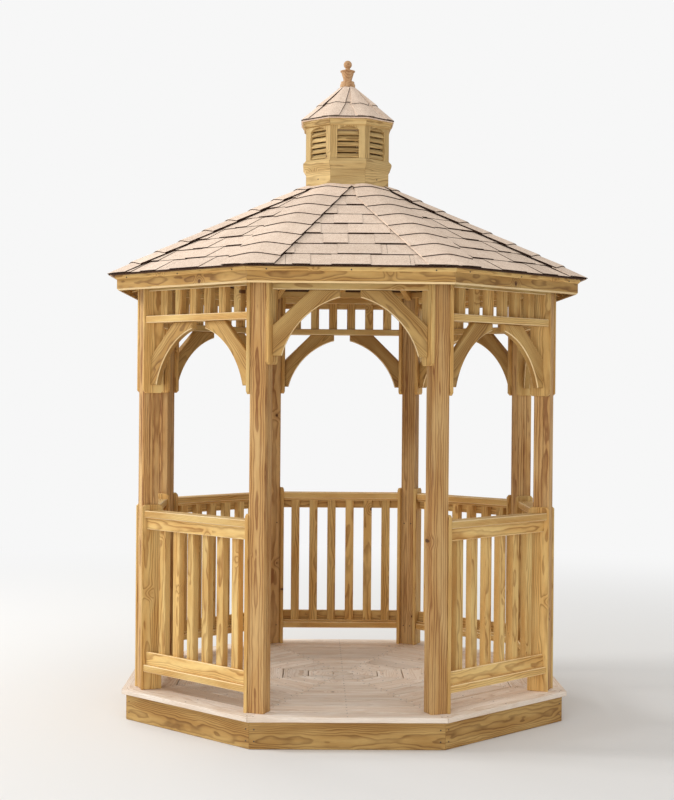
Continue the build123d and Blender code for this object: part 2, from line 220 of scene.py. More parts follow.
def slope_place(angle: float, distance: float, height: float, slope: float) -> Place:
    """Return axes up the slope, square to it and along the bay, for what lies on one side of a roof.

    Args:
        angle: The side's angle from the front.
        distance: How far the origin is from the centre.
        height: The origin's height.
        slope: The roof's rise over its run.

    Returns:
        The place of that side.
    """
    run_part = 1 / math.hypot(1, slope)
    rise_part = slope * run_part
    climb = -outward(angle) * run_part + UP * rise_part
    lift = outward(angle) * rise_part + UP * run_part
    return Place(outward(angle) * distance + UP * height, np.array((climb, lift, along(angle))))


def rectangle(left: float, right: float, low: float, high: float) -> Array:
    """Return a rectangle's corners, turning left."""
    return np.array(((left, low), (right, low), (right, high), (left, high)))


def octagon(apothem: float) -> Array:
    """Return the corners of an octagon whose sides face the bays, turning left."""
    angles = (np.arange(8) + 0.5) * TURN
    return np.column_stack((np.sin(angles), -np.cos(angles))) * apothem / COS


def arc(start: Sequence[float], crest: Sequence[float], end: Sequence[float], steps: int) -> Array:
    """Return points on the circle through three points, at even angles from the first to the last.

    With w = (end - start) / (crest - start) as complex numbers, the centre is start plus
    (crest - start) (w - |w| squared) / (w - conjugate of w).

    Args:
        start: The first point.
        crest: A point between.
        end: The last point.
        steps: How many points.

    Returns:
        The points, ends included.
    """
    a, b, c = (complex(*point) for point in (start, crest, end))
    w = (c - a) / (b - a)
    centre = (b - a) * (w - abs(w) ** 2) / (w - w.conjugate()) + a
    first, last = a - centre, c - centre
    sweep = np.angle(last / first)
    half = np.angle((b - centre) / first)
    if half * sweep < 0:
        sweep -= math.copysign(2 * math.pi, sweep)
    points = centre + first * np.exp(1j * sweep * np.linspace(0, 1, steps))
    return np.column_stack((points.real, points.imag))


def eased(outline: Array, amount: float) -> Array:
    """Cut every corner of an outline back by an amount along both of its edges.

    Args:
        outline: The corners in order.
        amount: How far each cut starts from its corner.

    Returns:
        Twice as many corners: a corner plus the amount towards each neighbour.
    """
    ahead = np.roll(outline, -1, 0) - outline
    ahead /= np.linalg.norm(ahead, axis=1)[:, None]
    behind = -np.roll(ahead, 1, 0)
    return np.stack((outline + behind * amount, outline + ahead * amount), axis=1).reshape(-1, 2)


def inset(outline: Array, amount: float) -> Array:
    """Move every edge of a left-turning outline inwards by an amount.

    Args:
        outline: The corners in order.
        amount: How far the edges move.

    Returns:
        Each corner moved by the sum of its two edge normals over one plus their dot product.
    """
    ahead = np.roll(outline, -1, 0) - outline
    ahead /= np.linalg.norm(ahead, axis=1)[:, None]
    normal = np.column_stack((-ahead[:, 1], ahead[:, 0]))
    before = np.roll(normal, 1, 0)
    share = 1 + np.sum(normal * before, axis=1)
    return outline + (normal + before) / share[:, None] * amount


@dataclass(frozen=True)
class Form:
    """A closed surface: its points, its faces and the finish number of each face."""

    points: Array
    faces: list
    finish: Array


def run(rings: Array, bare: Sequence[int] = ()) -> Form:
    """Join closed rings of points into a solid: a grid of quads round and along, and a cap at each end.

    Args:
        rings: An array of stations by points by three, each ring turning left about the way it runs.
        bare: The outline's edges whose faces, with both caps, take the second finish.

    Returns:
        The solid.
    """
    count, size = rings.shape[:2]
    here = np.arange(size)
    after = np.roll(here, -1)
    base = (np.arange(count - 1) * size)[:, None]
    sides = np.stack((base + here, base + after, base + size + after, base + size + here), axis=-1)
    finish = np.zeros((count - 1, size), int)
    finish[:, list(bare)] = 1
    caps = [here[::-1].tolist(), (here + (count - 1) * size).tolist()]
    ends = [1 if len(bare) else 0] * 2
    return Form(rings.reshape(-1, 3), sides.reshape(-1, 4).tolist() + caps, np.append(finish, ends))


def slab(top: Array, bottom: Array) -> Form:
    """Close a bent sheet: a grid of upper points, a grid of lower points and a rim between their edges.

    Args:
        top: Upper points, rows by columns by three; rows by columns turns left seen from above.
        bottom: Lower points in the same order.

    Returns:
        The solid, its rim and underside with the second finish.
    """
    rows, columns = top.shape[:2]
    index = np.arange(rows * columns).reshape(rows, columns)
    quads = np.stack((index[:-1, :-1], index[1:, :-1], index[1:, 1:], index[:-1, 1:]), axis=-1).reshape(-1, 4)
    rim = np.concatenate((index[:-1, 0], index[-1, :-1], index[:0:-1, -1], index[0, :0:-1]))
    lower = rows * columns
    after = np.roll(rim, -1)
    walls = np.stack((after, rim, rim + lower, after + lower), axis=-1)
    faces = np.concatenate((quads, quads[:, ::-1] + lower, walls))
    finish = np.concatenate((np.zeros(len(quads), int), np.ones(len(quads) + len(walls), int)))
    return Form(np.concatenate((top.reshape(-1, 3), bottom.reshape(-1, 3))), faces.tolist(), finish)


def prism(
    outline: Array, low: Level, high: Level, ease: float = 0.0, bare: Sequence[int] = (), arris: int = 0
) -> Form:
    """Carry an outline from a low to a high level; an ease narrows its last stretch at both ends.

    Args:
        outline: Corners turning left.
        low: The lower level, one number or one for each corner, as where an end is cut on a slant.
        high: The upper level, likewise.
        ease: How far the ends' edges are taken off.
        bare: The edges that take the second finish.
        arris: How many of the outline's first edges show the second finish where the ends are eased.

    Returns:
        The solid.
    """
    low = np.broadcast_to(low, len(outline)).astype(float)
    high = np.broadcast_to(high, len(outline)).astype(float)
    stations = [(outline, low), (outline, high)]
    if ease:
        small = inset(outline, ease)
        stations = [(small, low), (outline, low + ease), (outline, high - ease), (small, high)]
    form = run(np.stack([np.column_stack((shape, level)) for shape, level in stations]), bare)
    size = len(outline)
    form.finish[:arris] = 1
    form.finish[2 * size:2 * size + arris] = 1
    return form


def mitred(outline: Array, clearance: float, bare: Sequence[int] = ()) -> Form:
    """Carry a section, distances first, along a bay; the ends lie a clearance off the corner lines."""
    reach = half_side(outline[:, 0], clearance)
    return prism(outline, -reach, reach, 0.0, bare)


class Pile:
    """Boards gathered into one mesh, each sawn from its own part of a log and with its own tone."""

    stride = 7919
    pith_near = (0, -0.045, 0.045)
    pith_far = (6, 0.045, 0.12)
    sharp = math.radians(24)

    def __init__(self, name: str) -> None:
        """Start an empty pile with a run of chances that its name sets.

        Args:
            name: The piece's name.
        """
        self.name = name
        self.chance = np.random.default_rng(sum(name.encode()) * self.stride)
        self.points: list = []
        self.grain: list = []
        self.tone: list = []
        self.faces: list = []
        self.finish: list = []
        self.count = 0

    def put(
        self, form: Form, place: Place, grain: Grain = Grain.RUN, tone: float = -1.0, heart: float = 1.0
    ) -> None:
        """Add one form.

        Args:
            form: The solid in its own axes.
            place: Where it lies.
            grain: Which way its grain runs.
            tone: Its tone from 0 to 1, or less than 0 to let chance choose.
            heart: How far the pith lies from the board's middle, as a share of its usual distance.
        """
        middle = (form.points.min(0) + form.points.max(0)) / 2
        pith = self.chance.uniform(self.pith_near, self.pith_far) * (1, 1, self.chance.choice((-1, 1)))
        self.points.append(place.world(form.points))
        self.grain.append((form.points - middle) @ np.array(grain.value).T + pith * (1, heart, heart))
        shade = self.chance.uniform() if tone < 0 else tone
        self.tone.append(np.full(len(form.points), shade))
        turned = np.linalg.det(place.axes) < 0
        for face in form.faces:
            corners = [corner + self.count for corner in face]
            self.faces.append(corners[::-1] if turned else corners)
        self.finish.append(form.finish)
        self.count += len(form.points)

    def ring(self, form: Form, grain: Grain = Grain.RUN, tone: float = -1.0) -> None:
        """Add the same form along each of the eight bays."""
        for bay in SIDES:
            self.put(form, bar_place(bay * TURN), grain, tone)

    def dress(self, slot: Slot, nodes: Sequence[str], *finishes: Material) -> bpy.types.Object:
        """Args:
            slot: Not used.
            nodes: The measured parts that it stands for.
            finishes: Its materials in the order of the finish numbers.

        Returns:
            The object, at the origin.
        """
        mesh = bpy.data.meshes.new(self.name)
        mesh.from_pydata(np.concatenate(self.points).tolist(), [], self.faces)
        mesh.polygons.foreach_set("material_index", np.concatenate(self.finish).astype(np.int32))
        grain = mesh.attributes.new("grain", "FLOAT_VECTOR", "POINT")
        grain.data.foreach_set("vector", np.concatenate(self.grain).astype(np.float32).ravel())
        tone = mesh.attributes.new("tone", "FLOAT", "POINT")
        tone.data.foreach_set("value", np.concatenate(self.tone).astype(np.float32))
        mesh.set_sharp_from_angle(angle=self.sharp)
        mesh.update()
        for finish in finishes:
            mesh.materials.append(finish)
        piece = bpy.data.objects.new(self.name, mesh)
        bpy.context.scene.collection.objects.link(piece)
        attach(piece, "root")
        if nodes:
            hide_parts(*nodes)
        LOG.info("%s: %d boards, %d faces", self.name, len(self.points), len(self.faces))
        return piece


class Bench:
    """The node tree of a material or a world, built a node at a time."""

    def __init__(self, owner: bpy.types.ID) -> None:
        """Empty the owner's tree and give it an output.

        Args:
            owner: The material or the world.
        """
        self.owner = owner
        owner.use_nodes = True
        self.tree = owner.node_tree
        self.tree.nodes.clear()
        output = "OutputWorld" if isinstance(owner, bpy.types.World) else "OutputMaterial"
        self.surface = self.node(output, {}).inputs["Surface"]

    def join(self, socket: Socket, value: Value) -> None:
        """Link a socket to an output, or set it to a number or a row of numbers.

        Args:
            socket: The input.
            value: An output socket, a number or a row.
        """
        if isinstance(value, Socket):
            self.tree.links.new(value, socket)
        else:
            socket.default_value = value

    def node(self, kind: str, values: dict, **settings: str | bool) -> bpy.types.Node:
        """Add a node.

        Args:
            kind: The node's type without its ShaderNode prefix.
            values: What goes to each named or numbered input.
            settings: The node's own settings.

        Returns:
            The node.
        """
        made = self.tree.nodes.new("ShaderNode" + kind)
        for key, value in settings.items():
            setattr(made, key, value)
        for key, value in values.items():
            self.join(made.inputs[key], value)
        return made

    def sum(self, operation: str, *values: Value) -> Socket:
        """Work a sum on numbers."""
        return self.node("Math", dict(enumerate(values)), operation=operation).outputs[0]

    def vector(self, operation: str, *values: Value, output: str = "Vector") -> Socket:
        """Work a sum on vectors."""
        return self.node("VectorMath", dict(enumerate(values)), operation=operation).outputs[output]

    def noise(self, where: Socket, scale: float, detail: float = 2.0, rough: float = 0.5) -> Socket:
        """Return a noise from 0 to 1, about 0.5."""
        values = {"Vector": where, "Scale": scale, "Detail": detail, "Roughness": rough}
        return self.node("TexNoise", values).outputs["Fac"]

    def span(self, value: Socket, low: float, high: float, first: float, last: float) -> Socket:
        """Return a value carried smoothly from one span to another, held at its ends."""
        values = {"Value": value, "From Min": low, "From Max": high, "To Min": first, "To Max": last}
        return self.node("MapRange", values, interpolation_type="SMOOTHSTEP").outputs["Result"]

    def ramp(self, value: Socket, stops: Sequence[tuple]) -> Socket:
        """Return a colour read off a row of stops.

        Args:
            value: Where to read, from 0 to 1.
            stops: Pairs of a place and a colour or a grey.

        Returns:
            The colour.
        """
        made = self.node("ValToRGB", {"Fac": value})
        while len(made.color_ramp.elements) < len(stops):
            made.color_ramp.elements.new(0.5)
        for element, (place, colour) in zip(made.color_ramp.elements, stops):
            element.position = place
            element.color = (*colour, 1) if isinstance(colour, tuple) else (colour, colour, colour, 1)
        return made.outputs["Color"]

    def mix(self, share: Value, first: Value, second: Value, blend: str = "MIX") -> Socket:
        """Return two colours mixed by a share.

        Args:
            share: The second colour's part.
            first: The first colour.
            second: The second colour.
            blend: How they are blended.

        Returns:
            The mixed colour.
        """
        made = self.node("Mix", {}, data_type="RGBA", blend_type=blend)
        for key, value in ((0, share), (6, first), (7, second)):
            self.join(made.inputs[key], (*value, 1) if isinstance(value, tuple) else value)
        return made.outputs[2]

    def shade(self, colour: Value, amount: Socket) -> Socket:
        """Return a colour times a number."""
        grey = self.node("CombineColor", {0: amount, 1: amount, 2: amount}).outputs[0]
        return self.mix(1.0, colour, grey, "MULTIPLY")

    def mirrored(self) -> Socket:
        """Return 1 for what the camera sees at once or in a gloss, and 0 for what only lights."""
        rays = self.node("LightPath", {})
        return self.sum("MAXIMUM", rays.outputs["Is Camera Ray"], rays.outputs["Is Glossy Ray"])


class Paint(Bench):
    """A material's node tree, with its shader."""

    def __init__(self, name: str) -> None:
        """Start a material and join its shader to its output.

        Args:
            name: The material's name.
        """
        super().__init__(bpy.data.materials.new(name))
        self.shader = self.node("BsdfPrincipled", {})
        self.join(self.surface, self.shader.outputs[0])

    def coat(self, values: dict) -> None:
        """Give the shader's named inputs their values."""
        for key, value in values.items():
            self.join(self.shader.inputs[key], value)

    def bump(self, height: Socket, strength: float, distance: float) -> None:
        """Give the shader a bump."""
        made = self.node("Bump", {"Height": height, "Strength": strength, "Distance": distance})
        self.coat({"Normal": made.outputs["Normal"]})


def paint(red: int, green: int, blue: int) -> tuple:
    """Return a screen colour, 0 to 255 each, as the light that it stands for."""
    return tuple(((value / 255 + 0.055) / 1.055) ** 2.4 for value in (red, green, blue))


@dataclass(frozen=True)
class PineFinish:
    """Bare softwood: growth rings round a pith, dark late wood, knots and fine fibres.

    A point's ring is its distance from the pith, sqrt(across squared + through squared), pushed about
    by slow waves and swept aside round the knots; the colour and the bump follow its fraction.
    """

    name: str
    pale: tuple
    warm: tuple
    late: tuple
    knot: tuple
    ring: float = 0.0062
    strength: float = 0.85
    knots: float = 0.14
    spread: float = 0.2
    roughness: float = 0.66
    sway: tuple = (1.6, 8.0, 8.0)
    drift: float = 0.042
    bands: tuple = ((0.0, 0.25), (0.12, 0.0), (0.5, 0.12), (0.86, 1.0), (0.97, 0.9), (1.0, 0.25))
    cells: tuple = (3.1, 8.0, 8.0)
    flatten: tuple = (3.1, 8.0, 24.0)
    quick_sway: tuple = (11.0, 24.0, 24.0)
    fibres: tuple = (22.0, 620.0, 620.0)
    clouds: tuple = (2.4, 16.0, 16.0)
    tremor: float = 0.006
    waver: float = 0.9
    knot_least: float = 0.006
    knot_play: float = 0.009
    knot_ragged: float = 0.004
    halo: float = 0.055
    sweep: float = 0.016
    relief: float = 0.0007

    def material(self) -> Material:
        """Build the node tree.

        Returns:
            The material.
        """
        bench = Paint(self.name)
        place = bench.node("Attribute", {}, attribute_name="grain").outputs["Vector"]
        tone = bench.node("Attribute", {}, attribute_name="tone").outputs["Fac"]
        slow = bench.vector("MULTIPLY", place, self.sway)
        drift = bench.sum("MULTIPLY", bench.sum("SUBTRACT", bench.noise(slow, 1.0), 0.5), self.drift)
        quick = bench.noise(bench.vector("MULTIPLY", place, self.quick_sway), 1.0, 1.0)
        drift = bench.sum("ADD", drift, bench.sum("MULTIPLY", bench.sum("SUBTRACT", quick, 0.5), self.tremor))
        # Knots: round the nearest seed of a long cell pattern, if the cell's own chance allows one.
        stretched = bench.vector("MULTIPLY", place, self.cells)
        cells = bench.node("TexVoronoi", {"Vector": stretched, "Scale": 1.0})
        gap = bench.vector("SUBTRACT", stretched, cells.outputs["Position"])
        gap = bench.vector("DIVIDE", gap, self.flatten)
        reach = bench.vector("LENGTH", gap, output="Value")
        ragged = bench.sum("MULTIPLY", bench.noise(place, 60.0), self.knot_ragged)
        reach = bench.sum("ADD", reach, ragged)
        chance = bench.node("SeparateColor", {0: cells.outputs["Color"]})
        there = bench.sum("LESS_THAN", chance.outputs[0], self.knots)
        size = bench.sum("MULTIPLY_ADD", chance.outputs[1], self.knot_play, self.knot_least)
        core = bench.sum("SUBTRACT", 1.0, bench.span(bench.sum("DIVIDE", reach, size), 0.75, 1.15, 0.0, 1.0))
        core = bench.sum("MULTIPLY", core, there)
        halo = bench.sum("SUBTRACT", 1.0, bench.span(reach, 0.0, self.halo, 0.0, 1.0))
        halo = bench.sum("MULTIPLY", halo, there)
        flat = bench.vector("MULTIPLY", place, (0.0, 1.0, 1.0))
        radius = bench.sum("ADD", bench.vector("LENGTH", flat, output="Value"), drift)
        radius = bench.sum("MULTIPLY_ADD", halo, self.sweep, radius)
        turns = bench.sum("DIVIDE", radius, self.ring)
        turns = bench.sum("ADD", turns, bench.sum("MULTIPLY", bench.noise(slow, 3.0, 1.0), self.waver))
        phase = bench.sum("FRACT", turns)
        band = bench.ramp(phase, self.bands)
        fibre = bench.noise(bench.vector("MULTIPLY", place, self.fibres), 1.0, 3.0, 0.65)
        cloud = bench.noise(bench.vector("MULTIPLY", place, self.clouds), 1.0, 2.0)
        early = bench.mix(bench.span(cloud, 0.3, 0.7, 0.0, 1.0), self.pale, self.warm)
        share = bench.span(cloud, 0.25, 0.75, self.strength * 0.45, self.strength)
        share = bench.sum("MULTIPLY", band, share)
        colour = bench.mix(share, early, self.late)
        fleck = bench.span(fibre, 0.25, 0.75, 0.88, 1.08)
        colour = bench.shade(colour, fleck)
        tint = bench.sum("MULTIPLY_ADD", tone, self.spread, 1.0 - self.spread * 0.6)
        colour = bench.shade(colour, tint)
        colour = bench.mix(bench.sum("MULTIPLY", halo, 0.3), colour, self.late)
        colour = bench.mix(bench.sum("MULTIPLY", core, 0.9), colour, self.knot)
        rough = bench.sum("MULTIPLY_ADD", fibre, 0.14, self.roughness - 0.07)
        bench.coat({"Base Color": colour, "Roughness": rough, "Specular IOR Level": 0.25})
        height = bench.sum("ADD", bench.sum("MULTIPLY", band, 0.5), bench.sum("MULTIPLY", fibre, 0.5))
        bench.bump(height, 0.35, self.relief)
        return bench.owner


@dataclass(frozen=True)
class GranuleFinish:
    """Mineral granules on a shingle: specks of three tones, cloudy blends and a tone for each tab."""

    name: str
    light: tuple
    middle: tuple
    dark: tuple
    spread: float = 0.16
    grit: float = 420.0
    patches: float = 17.0
    mottles: float = 95.0

    def material(self) -> Material:
        """Build the node tree.

        Returns:
            The material.
        """
        bench = Paint(self.name)
        place = bench.node("TexCoord", {}).outputs["Object"]
        tone = bench.node("Attribute", {}, attribute_name="tone").outputs["Fac"]
        specks = bench.node("TexVoronoi", {"Vector": place, "Scale": self.grit})
        speck = bench.node("SeparateColor", {0: specks.outputs["Color"]}).outputs[0]
        cloud = bench.noise(place, self.patches, 4.0, 0.6)
        mottle = bench.noise(place, self.mottles, 3.0, 0.7)
        pick = bench.sum("ADD", bench.sum("MULTIPLY", speck, 0.45), bench.sum("MULTIPLY", cloud, 0.3))
        pick = bench.sum("ADD", pick, bench.sum("MULTIPLY", mottle, 0.35))
        colour = bench.ramp(pick, ((0.18, self.dark), (0.5, self.middle), (0.86, self.light)))
        tint = bench.sum("MULTIPLY_ADD", tone, self.spread, 1.0 - self.spread * 0.62)
        colour = bench.shade(colour, tint)
        bench.coat({"Base Color": colour, "Roughness": 0.93, "Specular IOR Level": 0.15})
        bench.bump(specks.outputs["Distance"], 0.5, 0.0015)
        return bench.owner


@dataclass(frozen=True)
class EdgeFinish:
    """A shingle's cut edge: dark bitumen felt with stray granules."""

    name: str
    felt: tuple
    stray: tuple

    def material(self) -> Material:
        """Build the node tree.

        Returns:
            The material.
        """
        bench = Paint(self.name)
        place = bench.node("TexCoord", {}).outputs["Object"]
        stray = bench.span(bench.noise(place, 260.0), 0.5, 0.75, 0.0, 0.7)
        colour = bench.mix(stray, self.felt, self.stray)
        bench.coat({"Base Color": colour, "Roughness": 0.85, "Specular IOR Level": 0.08})
        bench.bump(stray, 0.4, 0.001)
        return bench.owner


@dataclass(frozen=True)
class SteelFinish:
    """Galvanised heads of nails and screws, dulled and a little rusty."""

    name: str
    steel: tuple
    rust: tuple

    def material(self) -> Material:
        """Build the node tree.

        Returns:
            The material.
        """
        bench = Paint(self.name)
        place = bench.node("TexCoord", {}).outputs["Object"]
        rust = bench.span(bench.noise(place, 190.0, 3.0, 0.7), 0.42, 0.62, 0.0, 1.0)
        metal = bench.sum("SUBTRACT", 0.85, bench.sum("MULTIPLY", rust, 0.8))
        rough = bench.sum("MULTIPLY_ADD", rust, 0.4, 0.4)
        colour = bench.mix(rust, self.steel, self.rust)
        bench.coat({"Base Color": colour, "Metallic": metal, "Roughness": rough})
        return bench.owner


@dataclass(frozen=True)
class Finishes:
    """The finished materials that the sub-assemblies share."""

    pine: Material
    arris: Material
    post: Material
    figured: Material
    lantern: Material
    deck: Material
    painted_shade: Material
    turned: Material
    granules: Material
    felt: Material
    steel: Material


def mix_finishes() -> Finishes:
    """Build every material once.

    Returns:
        The materials.
    """
    pale, warm = paint(232, 198, 130), paint(214, 168, 98)
    late, knot = paint(150, 98, 44), paint(84, 50, 26)
    tan = (paint(248, 228, 210), paint(230, 206, 184), paint(176, 148, 126))
    return Finishes(
        pine=PineFinish("pine", pale, warm, late, knot).material(),
        # Paler pine for eased edges and chamfers: painted highlight, as if they catch the light.
        arris=PineFinish(
            "painted_highlight_pine", paint(250, 226, 178), paint(242, 210, 154), paint(216, 170, 112), knot,
            strength=0.5, knots=0.1,
        ).material(),
        post=PineFinish(
            "post_pine", paint(218, 178, 120), paint(198, 150, 90), paint(130, 80, 42), knot,
            ring=0.0115, strength=0.9, knots=0.06, sway=(2.0, 10.0, 10.0), drift=0.026,
        ).material(),
        figured=PineFinish(
            "figured_pine", paint(204, 166, 102), paint(180, 136, 74), paint(118, 80, 40), knot,
            ring=0.0052, strength=0.85, knots=0.05, sway=(2.4, 9.0, 9.0), drift=0.026,
        ).material(),
        lantern=PineFinish(
            "lantern_pine", paint(218, 188, 130), paint(198, 164, 106), paint(130, 96, 52), knot,
            ring=0.0055, strength=0.9, knots=0.06,
        ).material(),
        deck=PineFinish(
            "deck_pine", paint(248, 236, 222), paint(238, 220, 200), paint(200, 166, 134), paint(112, 80, 56),
            strength=0.6, knots=0.2, spread=0.18, roughness=0.74,
        ).material(),
        # Dark pine for the roof planks and the louvre slats' undersides: painted shade under the roof and
        # between the slats.
        painted_shade=PineFinish(
            "painted_shade_pine", paint(104, 74, 48), paint(86, 60, 38), paint(60, 40, 26), paint(44, 28, 18),
        ).material(),
        turned=PineFinish(
            "turned_pine", paint(214, 174, 130), paint(194, 150, 106), paint(142, 96, 60), knot,
            ring=0.0048, strength=0.8, knots=0.0,
        ).material(),
        granules=GranuleFinish("granules", *tan).material(),
        felt=EdgeFinish("felt", paint(36, 20, 14), paint(130, 100, 80)).material(),
        steel=SteelFinish("steel", paint(96, 86, 76), paint(60, 36, 24)).material(),
    )


@dataclass
class Platform:
    """The floor: a skirt, rings of deck boards mitred on the corner lines, and the spokes under them."""

    finishes: Finishes
    board: float = 0.140
    gap: float = 0.006
    mitre_gap: float = 0.0014
    joist: float = 0.038
    joist_ease: float = 0.002
    hub: float = 0.110
    hub_gap: float = 0.012

    def build(self) -> None:
        """Build the skirt, the deck and the frame under it."""
        skirt = Pile("skirt_lengths")
        inner = PLAN.skirt_apothem - PLAN.skirt_thickness
        outline = rectangle(inner, PLAN.skirt_apothem, 0, PLAN.skirt_height)
        skirt.ring(mitred(eased(outline, PLAN.ease), PLAN.mitre), Grain.STAND)
        skirt.dress(Slot.TIMBER, ["skirt_boards"], self.finishes.figured)
        self.deck()
        self.frame(inner - PLAN.fit)

    def deck(self) -> None:
        """Build the border ring and the rings within it, each a board wide, down to a small octagon."""
        border, floor = Pile("deck_border_lengths"), Pile("deck_ring_lengths")
        low, high, outer = PLAN.skirt_height, PLAN.deck_level, PLAN.deck_apothem
        pile = border
        while outer > self.board:
            outline = eased(rectangle(outer - self.board, outer, low, high), PLAN.ease)
            pile.ring(mitred(outline, self.mitre_gap))
            pile = floor
            outer -= self.board + self.gap
        floor.put(prism(octagon(outer), low, high, PLAN.ease), WORLD, Grain.REACH)
        border.dress(Slot.DECK, ["deck_border"], self.finishes.deck)
        floor.dress(Slot.DECK, ["deck_floor"], self.finishes.deck)

    def frame(self, inner: float) -> None:
        """Build the sixteen spokes and the hub that they meet.

        Args:
            inner: How far out the spokes reach towards a side.
        """
        spokes, hub = Pile("floor_spokes"), Pile("floor_hub_block")
        outline = eased(rectangle(-self.joist / 2, self.joist / 2, 0, PLAN.skirt_height), self.joist_ease)
        for half in range(16):
            # Every other spoke runs to a corner, which is farther off and comes to a point.
            corner = half % 2
            stretch = 1 / COS if corner else 1
            low = self.hub * stretch + self.hub_gap
            high = inner * stretch - corner * self.joist / 2 * TAN
            spokes.put(prism(outline, low, high), face_place(half * TURN / 2))
        hub.put(prism(octagon(self.hub), 0, PLAN.skirt_height, self.joist_ease), WORLD)
        spokes.dress(Slot.TIMBER, ["floor_joists"], self.finishes.pine)
        hub.dress(Slot.TIMBER, ["floor_hub"], self.finishes.pine)


@dataclass
class Posts:
    """Eight posts, square to the lines from the centre, with two flutes down each side face."""

    finishes: Finishes
    easing: float = 0.005
    end_easing: float = 0.0015
    flute_width: float = 0.005
    flute_depth: float = 0.003
    flute_spacing: float = 0.020
    heart: float = 0.35

    def outline(self) -> Array:
        """Work out the section: a square whose right and left sides dip at each flute.

        Returns:
            The corners, turning left, the rounded ones cut in three.
        """
        half = PLAN.post_size / 2
        deep = half - self.flute_depth
        near = self.flute_spacing / 2 - self.flute_width / 2
        far = near + self.flute_width
        side = np.array((
            (half, -far), (deep, -far), (deep, -near), (half, -near),
            (half, near), (deep, near), (deep, far), (half, far),
        ))
        turn = np.radians((0, 30, 60, 90))
        bend = (half - self.easing) + self.easing * np.column_stack((np.cos(turn), np.sin(turn)))
        upper, last = bend[::-1] * (-1, 1), bend[::-1] * (1, -1)
        return np.concatenate((side, bend, upper, -side, -bend, last))

    def build(self) -> None:
        """Build one piece for each post."""
        form = prism(self.outline(), PLAN.deck_level, PLAN.post_top, self.end_easing)
        for corner, name in enumerate(POSTS):
            pile = Pile(f"post_{name}_timber")
            # Two posts' names have the same letters, so each post first passes over chances of its own.
            pile.chance.random(corner)
            pile.put(form, upright_place((corner + 0.5) * TURN, PLAN.post_ring), heart=self.heart)
            pile.dress(Slot.TIMBER, [f"post_{name}"], self.finishes.post)


class Clip(Enum):
    """Which end of a side board has its corners cut off."""

    TOP = 1
    FOOT = 2


def side_boards(pile: Pile, bay: int, low: float, high: float, clip: Clip) -> None:
    """Put the two upright boards of a bay against its posts.

    Args:
        pile: Where they go.
        bay: The bay's number from the front.
        low: Their foot.
        high: Their top.
        clip: Which end is clipped.
    """
    half, cut = PLAN.board_width / 2, PLAN.board_clip
    if clip is Clip.TOP:
        outline = ((-half, low), (half, low), (half, high - cut))
        outline += ((half - cut, high), (cut - half, high), (-half, high - cut))
    else:
        outline = ((cut - half, low), (half - cut, low), (half, low + cut))
        outline += ((half, high), (-half, high), (-half, low + cut))
    form = prism(np.array(outline), 0, PLAN.board_thickness, PLAN.ease)
    for side in (1, -1):
        angle = (bay - side * 0.5) * TURN
        origin = outward(angle) * PLAN.board_middle + along(angle) * (side * PLAN.board_side)
        place = Place(origin, np.array((outward(angle) * -side, UP, along(angle) * side)))
        pile.put(form, place, Grain.RISE)


def uprights(pile: Pile, bay: int, low: float, high: float) -> None:
    """Put a panel's evenly spaced square uprights.

    Args:
        pile: Where they go.
        bay: The bay's number.
        low: Their foot.
        high: Their top.
    """
    count = PLAN.baluster_count
    distance = (PLAN.baluster_inner + PLAN.rail_inner) / 2
    pitch = (2 * half_side(distance, PLAN.panel_clear) + PLAN.baluster_width) / (count + 1)
    half, deep = PLAN.baluster_width / 2, PLAN.baluster_depth / 2
    form = prism(eased(rectangle(-half, half, -deep, deep), PLAN.ease), low, high)
    for step in range(count):
        pile.put(form, upright_place(bay * TURN, distance, (step - (count - 1) / 2) * pitch))


def rail(
    pile: Pile, bay: int, inner: float, outer: float, low: float, high: float, ease: float = PLAN.ease
) -> None:
    """Put one rail across a bay, its ends cut to the side boards.

    Args:
        pile: Where it goes.
        bay: The bay's number.
        inner: Its inner distance.
        outer: Its outer distance.
        low: Its foot.
        high: Its top.
        ease: How far its long edges are taken off.
    """
    outline = eased(rectangle(inner, outer, low, high), ease)
    grain = Grain.STAND if high - low > outer - inner else Grain.RUN
    # The eased corners take the second finish, the paler pine: painted highlight on the edges.
    pile.put(mitred(outline, PLAN.panel_clear + PLAN.rail_gap, range(0, 8, 2)), bar_place(bay * TURN), grain)


@dataclass
class RailingPanels:
    """Seven railing panels: a flat cap, rails on edge, inner strips, six balusters and side boards."""

    finishes: Finishes
    cap_top: float = 0.978
    top_rail: float = 0.064
    bottom_rail: float = 0.070
    foot_gap: float = 0.100
    strip: float = 0.013
    above_cap: float = 0.032
    flat_ease: float = 0.004
    strip_ease: float = 0.002

    def build(self) -> None:
        """Build one piece for each railed bay."""
        cap_high = PLAN.deck_level + self.cap_top
        cap_low = cap_high - PLAN.flat_thickness
        foot_low = PLAN.deck_level + self.foot_gap
        foot_high = foot_low + PLAN.flat_thickness
        flat = (PLAN.flat_inner, PLAN.flat_outer)
        edge = (PLAN.rail_inner, PLAN.rail_outer)
        strip = (PLAN.baluster_inner, PLAN.rail_inner)
        for bay in range(1, 8):
            pile = Pile(f"railing_{BAYS[bay]}_boards")
            side_boards(pile, bay, PLAN.deck_level, cap_high + self.above_cap, Clip.TOP)
            rail(pile, bay, *flat, cap_low, cap_high, self.flat_ease)
            rail(pile, bay, *edge, cap_low - self.top_rail, cap_low)
            rail(pile, bay, *strip, cap_low - self.strip, cap_low, self.strip_ease)
            rail(pile, bay, *flat, foot_low, foot_high, self.flat_ease)
            rail(pile, bay, *edge, foot_high, foot_high + self.bottom_rail)
            rail(pile, bay, *strip, foot_high, foot_high + self.strip, self.strip_ease)
            uprights(pile, bay, foot_high + self.strip, cap_low - self.strip)
            pile.dress(Slot.TIMBER, [f"railing_{BAYS[bay]}"], self.finishes.pine, self.finishes.arris)


